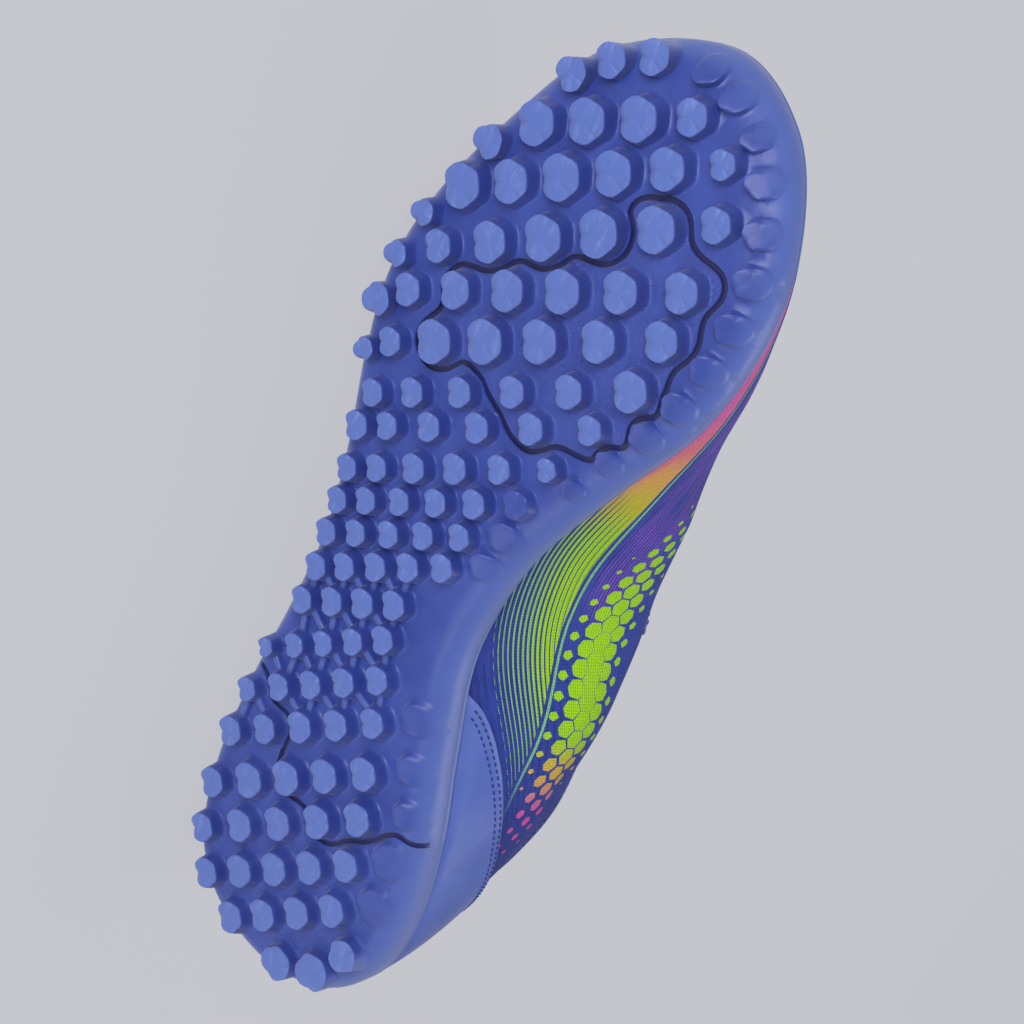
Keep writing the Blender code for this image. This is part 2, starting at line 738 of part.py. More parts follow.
def build_collar_binding():
    """The rolled edge that sits on the collar's rim, from one side of the throat to the other."""
    stations = stations_between(0.0, COLLAR_STATION)
    order = [(1, at) for at in reversed(stations)] + [(-1, at) for at in stations[1:]]
    path = []
    for side, station in order:
        rim = skin_point(side, station, 1.0, UPPER_WALL / 2)
        wall = (upper_point(side, station, 1.0) - upper_point(side, station, BINDING_WALL_SHARE)).normalized()
        across = upper_normal(side, station, 1.0)
        seat = BINDING_RADIUS * math.cos(math.pi / BINDING_SIDES) + 2 * CLEARANCE
        path.append((rim + wall * seat, across, wall))
    ring = []
    for k in range(BINDING_SIDES):
        angle = 2 * math.pi * (k + 0.5) / BINDING_SIDES + math.pi / 2
        ring.append((BINDING_RADIUS * math.cos(angle), BINDING_RADIUS * math.sin(angle)))
    return sweep("collar_binding", path, ring)


TONGUE_FIRST_STATION = 0.44
TONGUE_LAST_STATION = 0.765
TONGUE_OVERLAP = 0.80
TONGUE_RISE = 0.016
TONGUE_NARROWING = 0.28
TONGUE_CROWN_SHARE = 0.05
TONGUE_DEPTH = 3 * CLEARANCE


def tongue_line(station):
    """Points across the tongue's outer face, from the medial to the lateral edge."""
    gap = UPPER_WALL + TONGUE_DEPTH
    shares = shares_between(TONGUE_OVERLAP, 1.0)
    medial = [skin_point(-1, station, share, gap) for share in shares]
    lateral = [skin_point(1, station, share, gap) for share in reversed(shares)]
    crown = (medial[-1] - lateral[0]).length * TONGUE_CROWN_SHARE
    middle = (medial[-1] + lateral[0]) / 2 + Vector((0, 0, crown))
    return medial + [middle] + lateral


def build_tongue():
    """A padded sheet under the throat that rises a little past the collar's front."""
    lines = [tongue_line(at) for at in reversed(stations_between(TONGUE_FIRST_STATION, TONGUE_LAST_STATION))]
    middle = len(lines[0]) // 2
    slope = (lines[-1][middle] - lines[-3][middle]).normalized()
    last = lines[-1]
    centre = last[middle]
    for step in (0.5, 1.0):
        narrow = 1 - TONGUE_NARROWING * step
        lines.append([centre + (p - centre) * narrow + slope * TONGUE_RISE * step for p in last])
    bm = bmesh.new()
    layers = []
    for depth in (0.0, TONGUE_THICKNESS):
        layer = []
        for r, line in enumerate(lines):
            row = []
            for c, p in enumerate(line):
                ahead = lines[min(r + 1, len(lines) - 1)][c] - lines[max(r - 1, 0)][c]
                across = line[min(c + 1, len(line) - 1)] - line[max(c - 1, 0)]
                normal = ahead.cross(across).normalized()
                if normal.z < 0:
                    normal = -normal
                row.append(bm.verts.new(p - normal * depth))
            layer.append(row)
        layers.append(layer)
    low, high = layers
    rows, columns = len(lines), len(lines[0])
    for r in range(rows - 1):
        for c in range(columns - 1):
            for layer in (low, high):
                bm.faces.new((layer[r][c], layer[r][c + 1], layer[r + 1][c + 1], layer[r + 1][c]))
    border = [(0, c) for c in range(columns)] + [(r, columns - 1) for r in range(1, rows)]
    border += [(rows - 1, c) for c in range(columns - 2, -1, -1)] + [(r, 0) for r in range(rows - 2, 0, -1)]
    for (r0, c0), (r1, c1) in zip(border, border[1:] + border[:1]):
        bm.faces.new((low[r0][c0], low[r1][c1], high[r1][c1], high[r0][c0]))
    return new_object("tongue", bm)


def build_insole():
    """A flat footbed inside the upper's wall."""
    bm = bmesh.new()
    inset = LIP_WIDTH + CLEARANCE * 2 + UPPER_WALL + CLEARANCE
    stations = outline_stations()
    loops = []
    for rise in (CLEARANCE, CLEARANCE + INSOLE_THICKNESS):
        ring = []
        for side, station in stations:
            p = inset_point(side, station, inset)
            ring.append(bm.verts.new((p.x, p.y, footbed(edge_point(side, station).y) + rise)))
        loops.append(ring)
    count = len(stations)
    for k in range(count):
        after = (k + 1) % count
        bm.faces.new((loops[0][k], loops[0][after], loops[1][after], loops[1][k]))
    for ring in loops:
        for k in range(SIDE_STATIONS):
            corners = [ring[k], ring[k + 1], ring[-(k + 1)], ring[-k] if k else ring[0]]
            bm.faces.new(list(dict.fromkeys(corners)))
    return new_object("insole", bm)


# Where the lace leaves and joins an eyestay, how low it runs between two holes, and its flat middle
LACE_HIGH_SHARE = 0.97
LACE_RUN_DROP = 0.03
LACE_FLAT_SHARE = 0.6


def lace_route():
    """(point, outward direction) along the lace: over the throat at each pair of holes, then up the
    side to the next pair."""
    lift = 3 * CLEARANCE + EYESTAY_THICKNESS + LACE_THICKNESS / 2
    route = []
    side = -1
    for k in range(EYELET_PAIRS):
        station = eyelet_station(k)

        def on_stay(s, share):
            return skin_point(s, station, share, -lift), upper_normal(s, station, share)

        low, high = on_stay(side, EYELET_SHARE), on_stay(side, LACE_HIGH_SHARE)
        far_high, far_low = on_stay(-side, LACE_HIGH_SHARE), on_stay(-side, EYELET_SHARE)
        middle = (high[0] + far_high[0]) / 2 + Vector((0, 0, LACE_CROWN))
        route += [low, high, (middle, (high[1] + far_high[1]).normalized()), far_high, far_low]
        side = -side
        if k < EYELET_PAIRS - 1:
            between = (station + eyelet_station(k + 1)) / 2
            low_share = EYELET_SHARE - LACE_RUN_DROP
            route.append((skin_point(side, between, low_share, -lift), upper_normal(side, between, low_share)))
    return route


def build_laces():
    """The crossings and the runs that join them, as one flat braid."""
    route = lace_route()
    frames = []
    for k, (centre, up) in enumerate(route):
        along = (route[min(k + 1, len(route) - 1)][0] - route[max(k - 1, 0)][0]).normalized()
        across = along.cross(up).normalized()
        frames.append((centre, across, across.cross(along).normalized()))
    half, thick = LACE_WIDTH / 2, LACE_THICKNESS / 2
    flat = half * LACE_FLAT_SHARE
    ring = [(-half, 0), (-flat, -thick), (flat, -thick), (half, 0), (flat, thick), (-flat, thick)]
    return sweep("laces", frames, ring)


def volume_and_centre(obj):
    """Volume and centre of mass of a closed mesh, from tetrahedra on the origin."""
    mesh = obj.data
    mesh.calc_loop_triangles()
    total, centre = 0.0, Vector((0, 0, 0))
    for triangle in mesh.loop_triangles:
        a, b, c = (mesh.vertices[v].co for v in triangle.vertices)
        part = a.dot(b.cross(c)) / 6
        total += part
        centre += (a + b + c) / 4 * part
    return total, centre / total


# A face of the hull faces the lateral side if its direction's x is at least this
LATERAL_LEAST_X = 0.7


def resting_turn(objects):
    """The rotation that lays the shoe on its lateral side, on the face of its hull that holds it up."""
    weight, centre = 0.0, Vector((0, 0, 0))
    bm = bmesh.new()
    for obj in objects:
        volume, middle = volume_and_centre(obj)
        mass = volume * DENSITIES.get(obj.name, DENSITY_ELSEWHERE)
        weight += mass
        centre += middle * mass
        for vertex in obj.data.vertices:
            bm.verts.new(vertex.co)
    centre /= weight
    bmesh.ops.convex_hull(bm, input=bm.verts)
    best = None
    for face in bm.faces:
        normal = face.normal.copy()
        if normal.dot(face.calc_center_median() - centre) < 0:
            normal = -normal
        if normal.x < LATERAL_LEAST_X:
            continue
        corners = [v.co.copy() for v in face.verts]
        foot = centre + normal * normal.dot(corners[0] - centre)
        signs = []
        for a, b in zip(corners, corners[1:] + corners[:1]):
            signs.append((b - a).cross(foot - a).dot(normal))
        holds = all(s >= 0 for s in signs) or all(s <= 0 for s in signs)
        drop = normal.dot(corners[0] - centre)
        if best is None or (not holds, drop) < best[:2]:
            best = (not holds, drop, normal)
    bm.free()
    down = best[2]
    up = -down
    toe = Vector((0, 1, 0))
    toe = (toe - up * toe.dot(up)).normalized()
    left = -toe
    forward = up.cross(left)
    return Matrix((left, forward, up)).to_4x4()


def lay_down(objects):
    """Places the whole shoe under one empty, its lowest point on the ground and its box centred."""
    turn = resting_turn(objects)
    points = [turn @ vertex.co for obj in objects for vertex in obj.data.vertices]
    low = Vector([min(p[axis] for p in points) for axis in range(3)])
    high = Vector([max(p[axis] for p in points) for axis in range(3)])
    shift = Vector((-(low.x + high.x) / 2, -(low.y + high.y) / 2, -low.z))
    pose = bpy.data.objects.new("shoe_pose", None)
    bpy.context.scene.collection.objects.link(pose)
    pose.matrix_world = Matrix.Translation(shift) @ turn
    return pose


def main():
    for obj in list(bpy.data.objects):
        bpy.data.objects.remove(obj, do_unlink=True)
    upper = build_upper()
    pieces = [
        build_outsole(),
        upper,
        build_heel_counter(),
        build_collar_binding(),
        build_tongue(),
        build_insole(),
        build_eyestay(-1, "eyestay_medial"),
        build_eyestay(1, "eyestay_lateral"),
        build_laces(),
    ]
    cutters = []
    for name, side in (("eyestay_medial", -1), ("eyestay_lateral", 1)):
        cutters.append(punch_eyelets(bpy.data.objects[name], side))
        cutters.append(punch_eyelets(upper, side))
    pose = lay_down(pieces)
    for obj in pieces + cutters:
        obj.parent = pose
    bpy.context.view_layer.update()


main()
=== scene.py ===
"""The looks of the turf shoe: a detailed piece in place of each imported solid, with light and camera.

Every piece is worked out in the standing shoe's own frame, in metres: x to the lateral side, y from
the heel to the toe, z up from the plane of the stud tips. POSE then lays it down on its side.
"""

import math
from functools import lru_cache

import bmesh
import bpy
import numpy as np
from mathutils import Matrix, Vector
from mathutils.geometry import delaunay_2d_cdt


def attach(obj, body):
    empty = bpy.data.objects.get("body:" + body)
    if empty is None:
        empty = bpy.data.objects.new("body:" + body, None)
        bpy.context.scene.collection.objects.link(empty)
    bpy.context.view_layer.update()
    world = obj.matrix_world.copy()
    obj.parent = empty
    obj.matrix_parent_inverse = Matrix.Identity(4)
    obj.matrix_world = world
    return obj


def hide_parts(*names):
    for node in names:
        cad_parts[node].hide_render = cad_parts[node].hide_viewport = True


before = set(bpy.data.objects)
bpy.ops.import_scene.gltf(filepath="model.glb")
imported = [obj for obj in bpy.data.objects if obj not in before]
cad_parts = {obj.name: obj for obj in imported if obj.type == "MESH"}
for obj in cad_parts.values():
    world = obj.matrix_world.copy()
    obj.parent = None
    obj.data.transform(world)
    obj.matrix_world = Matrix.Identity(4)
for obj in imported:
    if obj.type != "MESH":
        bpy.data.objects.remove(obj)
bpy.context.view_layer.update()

# Where the standing shoe's frame lies in the world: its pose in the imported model
POSE = Matrix((
    (-0.02265175, -0.99974304, 0.00089089, 0.14192928),
    (0.03934645, -0.00000106, 0.99922556, -0.04407990),
    (-0.99896878, 0.02266927, 0.03933636, 0.03814942),
    (0, 0, 0, 1),
))
MM = 0.001

# Driving sizes of the shoe
SOLE_LENGTH = 0.285
BALL_WIDTH = 0.103
STUD_HEIGHT = 0.0045
TREAD_THICKNESS = 0.0050
SIDE_HEIGHT = 0.0155
ROLL_RISE = 0.65
TOE_SPRING = 0.012
TOE_SPRING_START = 0.66
HEEL_LIFT = 0.0015
HEEL_LIFT_END = 0.09
HEEL_LIP_RISE = 0.0015
HEEL_LIP_END = 0.5
LIP_WIDTH = 0.0016
COLLAR_HEIGHT = 0.076
UPPER_WALL = 0.0018
COUNTER_WALL = 0.0010
BINDING_RADIUS = 0.0019
TONGUE_THICKNESS = 0.0030
INSOLE_THICKNESS = 0.0035
EYESTAY_THICKNESS = 0.0009
EYELET_RADIUS = 0.0019
EYELET_PAIRS = 5
LACE_WIDTH = 0.0038
LACE_THICKNESS = 0.0018
LACE_CROWN = 0.0008
CLEARANCE = 0.0003
PANEL_GAP = 0.0004

# Studs: the largest base, how much of the gap to its neighbour a base fills, and its taper
STUD_BASE = 0.0138
STUD_FILL = 0.88
ROW_SHARE = 0.12
STUD_DRAFT = 0.0012
RING_DRAFT = 0.0009
STUD_SIDES = 6
STUD_EDGE_MARGIN = 0.0006

# The sole's edge seen from above, medial side then lateral side, from the heel's back to the toe's
# tip: x as a share of BALL_WIDTH, y as a share of SOLE_LENGTH
MEDIAL_EDGE = (
    ("heel back", 0.000, 0.000),
    ("heel corner", -0.205, 0.021),
    ("heel side", -0.325, 0.075),
    ("heel widest", -0.357, 0.150),
    ("heel front", -0.330, 0.232),
    ("arch back", -0.268, 0.318),
    ("waist", -0.215, 0.415),
    ("arch front", -0.262, 0.520),
    ("ball back", -0.405, 0.625),
    ("ball", -0.540, 0.715),
    ("big toe joint", -0.588, 0.808),
    ("big toe side", -0.545, 0.890),
    ("toe corner", -0.405, 0.965),
    ("toe tip", -0.165, 1.000),
)
LATERAL_EDGE = (
    ("heel back", 0.000, 0.000),
    ("heel corner", 0.210, 0.021),
    ("heel side", 0.340, 0.075),
    ("heel widest", 0.385, 0.160),
    ("heel front", 0.372, 0.260),
    ("arch back", 0.335, 0.360),
    ("waist", 0.318, 0.440),
    ("arch front", 0.345, 0.525),
    ("ball back", 0.395, 0.610),
    ("ball", 0.418, 0.690),
    ("little toe", 0.385, 0.765),
    ("toe side", 0.278, 0.862),
    ("toe corner", 0.120, 0.955),
    ("toe tip", -0.165, 1.000),
)

# How far the sole's edge is rolled in towards the tread: share of its side height, by share of length
ROLL_WIDTH = (
    ("heel back", 0.00, 0.30, 0.30),
    ("heel", 0.15, 0.42, 0.30),
    ("waist", 0.42, 0.50, 0.30),
    ("ball", 0.72, 0.80, 0.35),
    ("toe side", 0.90, 0.80, 0.45),
    ("toe tip", 1.00, 0.60, 0.60),
)

# The upper's top line and ridge, by station (share of the way round one side from heel to toe):
# y as a share of SOLE_LENGTH, medial and lateral x as shares of BALL_WIDTH, height as a share of
# COLLAR_HEIGHT, and how far the wall arches over (0 to 1)
TOP_LINE = (
    ("heel back", 0.000, 0.030, 0.000, 0.000, 1.000, 0.00),
    ("heel turn", 0.045, 0.041, -0.120, 0.145, 0.998, 0.00),
    ("heel side", 0.100, 0.080, -0.190, 0.232, 0.985, 0.00),
    ("ankle back", 0.170, 0.135, -0.258, 0.285, 0.958, 0.00),
    ("ankle", 0.250, 0.208, -0.318, 0.308, 0.935, 0.00),
    ("ankle front", 0.330, 0.285, -0.328, 0.300, 0.945, 0.06),
    ("collar rise", 0.400, 0.345, -0.312, 0.268, 1.020, 0.22),
    ("collar front", 0.460, 0.393, -0.250, 0.200, 1.125, 0.46),
    ("throat top", 0.520, 0.448, -0.155, 0.107, 1.125, 0.68),
    ("throat", 0.600, 0.525, -0.157, 0.053, 1.026, 0.84),
    ("throat low", 0.680, 0.602, -0.174, 0.002, 0.895, 0.95),
    ("throat end", 0.740, 0.662, -0.162, -0.062, 0.805, 1.00),
    ("vamp", 0.775, 0.698, -0.128, -0.128, 0.756, 1.00),
    ("toe back", 0.850, 0.768, -0.152, -0.152, 0.668, 1.00),
    ("toe box", 0.925, 0.838, -0.170, -0.170, 0.600, 0.94),
    ("toe front", 1.000, 0.900, -0.172, -0.172, 0.540, 0.72),
)
VAMP_STATION = 0.775
COLLAR_STATION = 0.460

# How far the wall swells past the line from lip to top line, as shares of BALL_WIDTH, and at which
# share of its height it swells most: medial side, then lateral side
SWELL = (
    ("heel back", 0.00, 0.030, 0.40, 0.030, 0.40),
    ("heel side", 0.12, 0.018, 0.40, 0.033, 0.50),
    ("heel front", 0.20, 0.040, 0.50, 0.038, 0.50),
    ("ankle", 0.28, 0.075, 0.55, 0.048, 0.50),
    ("arch back", 0.36, 0.118, 0.60, 0.060, 0.45),
    ("arch", 0.45, 0.124, 0.60, 0.060, 0.45),
    ("throat top", 0.52, 0.155, 0.60, 0.060, 0.45),
    ("ball back", 0.60, 0.112, 0.56, 0.058, 0.42),
    ("ball", 0.68, 0.022, 0.48, 0.053, 0.40),
    ("toe box", 0.80, -0.015, 0.40, 0.025, 0.38),
    ("toe", 1.00, 0.000, 0.40, 0.000, 0.38),
)

# Stud rows: x and y of the lateral and of the medial end (shares of BALL_WIDTH and SOLE_LENGTH),
# count, and how strongly the steps grow towards the medial side (1 is even)
STUD_ROWS = (
    ("toe 1", 0.146, 0.879, -0.218, 0.944, 4, 1.00),
    ("toe 2", 0.262, 0.801, -0.345, 0.923, 6, 1.00),
    ("toe 3", 0.255, 0.744, -0.400, 0.879, 6, 1.00),
    ("ball 1", 0.290, 0.695, -0.400, 0.818, 6, 1.04),
    ("ball 2", 0.284, 0.644, -0.408, 0.775, 6, 1.08),
    ("ball 3", 0.279, 0.593, -0.390, 0.725, 6, 1.12),
    ("ball 4", 0.290, 0.557, -0.334, 0.677, 6, 1.22),
    ("arch 1", 0.272, 0.516, -0.269, 0.625, 6, 1.15),
    ("arch 2", 0.265, 0.483, -0.223, 0.580, 6, 1.10),
    ("arch 3", 0.262, 0.449, -0.214, 0.544, 6, 1.06),
    ("arch 4", 0.254, 0.413, -0.194, 0.509, 6, 1.05),
    ("arch 5", 0.258, 0.375, -0.010, 0.429, 4, 1.00),
    ("heel 1", 0.312, 0.309, -0.018, 0.393, 5, 1.00),
    ("heel 2", 0.322, 0.258, -0.047, 0.355, 5, 1.00),
    ("heel 3", 0.325, 0.208, -0.184, 0.342, 6, 1.00),
    ("heel 4", 0.322, 0.147, -0.223, 0.295, 6, 1.00),
    ("heel 5", 0.300, 0.097, -0.260, 0.252, 6, 1.00),
    ("heel 6", 0.236, 0.057, -0.269, 0.201, 6, 1.00),
    ("heel 7", 0.112, 0.034, -0.279, 0.151, 5, 1.00),
)

# Stud runs that follow the edge: side (-1 medial, 1 lateral), first and last station (share of the
# way from the heel's back to the toe's tip), count, distance of the centres from the edge in metres
EDGE_RUNS = (
    ("little toe", 1, 0.598, 0.724, 4, 0.0052),
    ("toe side", 1, 0.802, 0.802, 1, 0.0052),
    ("toe tip", 1, 0.886, 0.960, 3, 0.0052),
    ("big toe", -1, 0.994, 0.590, 12, 0.0052),
    ("heel back", -1, 0.030, 0.130, 3, 0.0072),
)

# The studs on the rolled medial edge, from this share of the length on, are low and follow its
# curve, fully up to the near distance from the edge and not at all past the far one. They stand out
# of it by the relief, the lean is how much more of that shows at a stud's inner side, and the fades
# are how much they lose of a tip's paler paint and of its creases
LOW_STUD_RELIEF = 0.0019
LOW_STUD_LEAN = 0.55
LOW_STUD_FADE = 0.75
LOW_STUD_CREASE_FADE = 0.85
LOW_STUD_NEAR = 0.0075
LOW_STUD_FAR = 0.0125
LOW_STUD_START = 0.105

# The heel counter's front edge: station by share of the wall's height
COUNTER_FRONT = (
    ("lip", 0.00, 0.381),
    ("low", 0.12, 0.362),
    ("lower middle", 0.25, 0.316),
    ("upper middle", 0.40, 0.238),
    ("high", 0.60, 0.152),
    ("top", 0.80, 0.090),
    ("crest", 0.94, 0.055),
)

EYESTAY_BACK_STATION = 0.475
EYESTAY_FRONT_STATION = 0.745
EYESTAY_WIDTH_SHARE = 0.19
EYESTAY_TOP_SHARE = 0.985
EYELET_SHARE = 0.905
EYELET_FIRST_STATION = 0.500
EYELET_LAST_STATION = 0.715

TONGUE_FIRST_STATION = 0.44
TONGUE_LAST_STATION = 0.765
TONGUE_OVERLAP = 0.80
TONGUE_RISE = 0.016
TONGUE_NARROWING = 0.28
TONGUE_CROWN_SHARE = 0.05
TONGUE_DEPTH = 3 * CLEARANCE


def clamp(value, low=0.0, high=1.0):
    return max(low, min(high, value))


def smooth(value):
    """0 to 1 with soft ends."""
    value = clamp(value)
    return value * value * (3 - 2 * value)


def catmull(a, b, c, d, t):
    """The point at t between b and c on the curve through a, b, c and d."""
    return 0.5 * ((2 * b) + (c - a) * t + (2 * a - 5 * b + 4 * c - d) * t * t
                  + (3 * b - a - 3 * c + d) * t ** 3)


def curve_through(chain, steps):
    """The smooth curve from the chain's second point up to its last but one, which is left out."""
    return [catmull(*chain[k - 1:k + 3], step / steps)
            for k in range(1, len(chain) - 2) for step in range(steps)]


def distances(points):
    """How far along the path each point is."""
    run = [0.0]
    for a, b in zip(points, points[1:]):
        run.append(run[-1] + (b - a).length)
    return run


def read_table(rows, at, column):
    """The smooth value of one column of a table whose second column is its station."""
    stations = [row[1] for row in rows]
    at = clamp(at, stations[0], stations[-1])
    k = max(i for i in range(len(rows) - 1) if stations[i] <= at)
    here, after = rows[k], rows[k + 1]
    span = after[1] - here[1]
    t = (at - here[1]) / span

    def slope(i):
        low, high = rows[max(i - 1, 0)], rows[min(i + 1, len(rows) - 1)]
        return (high[column] - low[column]) / (high[1] - low[1])

    rise = after[column] - here[column]
    first, last = slope(k) * span, slope(k + 1) * span
    bend, twist = 3 * rise - 2 * first - last, first + last - 2 * rise
    return here[column] + first * t + bend * t * t + twist * t ** 3


def edge_curve(rows, other_rows, steps=16):
    """Points of one side of the outline, with their distance from the heel's back."""
    points = [Vector((row[1] * BALL_WIDTH, row[2] * SOLE_LENGTH)) for row in rows]
    before = Vector((other_rows[1][1] * BALL_WIDTH, other_rows[1][2] * SOLE_LENGTH))
    beyond = Vector((other_rows[-2][1] * BALL_WIDTH, other_rows[-2][2] * SOLE_LENGTH))
    curve = curve_through([before] + points + [beyond], steps) + [points[-1]]
    return curve, distances(curve)


EDGES = {-1: edge_curve(MEDIAL_EDGE, LATERAL_EDGE), 1: edge_curve(LATERAL_EDGE, MEDIAL_EDGE)}


def edge_point(side, station):
    """The outline's point at a share of the way from heel to toe along one side."""
    curve, lengths = EDGES[side]
    target = clamp(station) * lengths[-1]
    k = 0
    while k < len(curve) - 2 and lengths[k + 1] < target:
        k += 1
    share = (target - lengths[k]) / (lengths[k + 1] - lengths[k])
    return curve[k].lerp(curve[k + 1], share)


def edge_normal(side, station):
    """The outline's outward direction in plan."""
    step = 0.004
    back, ahead = station - step, station + step
    first = edge_point(side, back) if back > 0 else edge_point(-side, -back)
    last = edge_point(side, ahead) if ahead < 1 else edge_point(-side, 2 - ahead)
    along = (last - first).normalized()
    return Vector((along.y, -along.x)) * side


def inset_point(side, station, inset):
    return edge_point(side, station) - edge_normal(side, station) * inset


def spring(y):
    """How far the tread rises off the ground at the toe and at the back of the heel."""
    share = y / SOLE_LENGTH
    toe = TOE_SPRING * clamp((share - TOE_SPRING_START) / (1 - TOE_SPRING_START)) ** 2
    heel = HEEL_LIFT * clamp((HEEL_LIFT_END - share) / HEEL_LIFT_END) ** 2
    return toe + heel


def lip_top(y):
    """Height of the sole's top edge."""
    share = y / SOLE_LENGTH
    return spring(y) + SIDE_HEIGHT + HEEL_LIP_RISE * (1 - smooth(share / HEEL_LIP_END))


def footbed(y):
    """Height of the face that the upper and the insole stand on."""
    return spring(y) + STUD_HEIGHT + TREAD_THICKNESS


def roll_width(side, y):
    column = 2 if side < 0 else 3
    return read_table(ROLL_WIDTH, y / SOLE_LENGTH, column) * SIDE_HEIGHT


def stud_places():
    """(plan position, direction of its row, whether it stands on the rolled edge) of every stud."""
    places = []
    for _, x0, y0, x1, y1, count, growth in STUD_ROWS:
        first = Vector((x0 * BALL_WIDTH, y0 * SOLE_LENGTH))
        last = Vector((x1 * BALL_WIDTH, y1 * SOLE_LENGTH))
        row = math.atan2(last.y - first.y, last.x - first.x)
        for k in range(count):
            places.append((first.lerp(last, (k / (count - 1)) ** growth), row, False))
    for _, side, first, last, count, inset in EDGE_RUNS:
        for k in range(count):
            station = first + (last - first) * k / max(count - 1, 1)
            out = edge_normal(side, station)
            places.append((inset_point(side, station, inset), math.atan2(out.x, -out.y), True))
    return places


def top_point(side, station):
    """The top line's point, or the ridge's where the upper is closed."""
    y = read_table(TOP_LINE, station, 2) * SOLE_LENGTH
    x = read_table(TOP_LINE, station, 3 if side < 0 or station >= VAMP_STATION else 4) * BALL_WIDTH
    return Vector((x, y, read_table(TOP_LINE, station, 5) * COLLAR_HEIGHT))


def eyelet_station(k):
    return EYELET_FIRST_STATION + (EYELET_LAST_STATION - EYELET_FIRST_STATION) * k / (EYELET_PAIRS - 1)


# How finely the pieces are meshed; the reach of the tread's net to both sides, as shares of
# BALL_WIDTH; and how far its points keep off the rim, the grooves and the studs' feet
TREAD_STATIONS = 150
TREAD_SPACING = 0.0014
ROLL_STEPS = 8
UPPER_STATIONS = 170
UPPER_ROWS = 44
NET_SIDES = (-0.62, 0.45)
RIM_CLEAR = 0.3 * MM
RING_CLEAR = 0.2 * MM
FOOT_CLEAR = 0.25 * MM

# A stud's wall, from its foot to the bevel of its tip: share of the way in, share of its height
STUD_WALL = (
    ("fillet", 0.20, 0.05),
    ("low wall", 0.40, 0.19),
    ("wall", 0.60, 0.44),
    ("high wall", 0.78, 0.72),
    ("bevel foot", 0.90, 0.90),
    ("tip edge", 1.05, 1.00),
)

# Inside the tip's edge: the rings of points, as shares of its reach, and how far its middle is sunk
STUD_TIP_RINGS = (0.86, 0.64, 0.42, 0.20)
TIP_SINK = 0.00008

# How a stud differs from the solid's: its foot, its tip at the heel and in the forefoot, how far the
# tip hangs over where the edge leaves little room, and where the heel's studs give way to the
# forefoot's, as shares of the length
STUD_FOOT_SPREAD = 1.107
STUD_TIP_EXTRA_HEEL = -0.00010
STUD_TIP_EXTRA_FOREFOOT = 0.00055
STUD_OVERHANG = 0.0007
FOREFOOT_SHARES = (0.33, 0.42)

# Its outline: three lobes and six flats, as shares of its reach, and the steps of the angles round it
FOOT_SIXES = -0.045
STUD_LOBES = 0.038
STUD_SIXES = -0.032
STUD_LOBE_ANGLES = (0, 5, 15, 30, 45, 60, 75, 90, 105, 115)

# The valleys between the lobes: depth and half angle, the crease in each, the notch that each makes
# in the outline, and how much deeper the one at the back is
STUD_VALLEY = 0.00060
STUD_VALLEY_HALF = 52.0
STUD_CREASE = 8.0
STUD_CREASE_DEPTH = 0.00035
STUD_NOTCH = 0.03
STUD_BACK_NOTCH = 0.04
STUD_AT_BACK = 1.1

# A foot is trimmed in small steps until a groove or the rim is clear of it, down to its least size
STUD_RIM_GAP = 0.0011
FOOT_TRIES = 12
FOOT_TRIM = 0.15 * MM
FOOT_PAST_TIP = 0.25 * MM
FOOT_LEAST_SHARE = 0.97
LOW_FOOT_CUT = 0.5 * MM

# The bars between the back rows of studs: which rows, sizes in metres, and each bar's foot, shoulder
# and crest as (across, along) shares, with their heights, shades and faces
BAR_ROWS = ("arch 4", "arch 5", "heel 1", "heel 2", "heel 3", "heel 4")
BAR_REACH = 0.0145
BAR_LENGTH = 0.50
BAR_WIDTH = 0.0026
BAR_HEIGHT = 0.0021
BAR_FROM_GROOVE = 0.0030
BAR_SUNK = 0.0003
BAR_PLAN = (
    (-1.0, -1.0), (1.0, -1.0), (1.0, 1.0), (-1.0, 1.0),
    (-0.75, -0.92), (0.75, -0.92), (0.75, 0.92), (-0.75, 0.92),
    (-0.35, -0.75), (0.35, -0.75), (0.35, 0.75), (-0.35, 0.75),
)
# How much of the tips' painted highlight a bar's foot, and its shoulder and crest, get
BAR_SHADE = (0.0, 0.93)
BAR_LEVELS = (0.0,) * 4 + (0.75,) * 4 + (1.0,) * 4
BAR_FACES = tuple((k, (k + 1) % 4, (k + 1) % 4 + 4, k + 4) for k in range(4)) + tuple(
    (k + 4, (k + 1) % 4 + 4, (k + 1) % 4 + 8, k + 8) for k in range(4)
) + ((0, 1, 2, 3), (8, 9, 10, 11))

# The sole's side above the tread's rim: inset and share of its height. Then its lip: inset and drop
# below the top
SIDE_WALL = ((0.0, 0.30), (0.0, 0.62), (0.00018, 0.72), (0.0, 0.82))
LIP = (
    (0.0, 0.0005), (0.00012, 0.00015), (0.00045, 0.0),
    (LIP_WIDTH - 0.0004, 0.0), (LIP_WIDTH - 0.0001, 0.00012), (LIP_WIDTH, 0.0005),
)

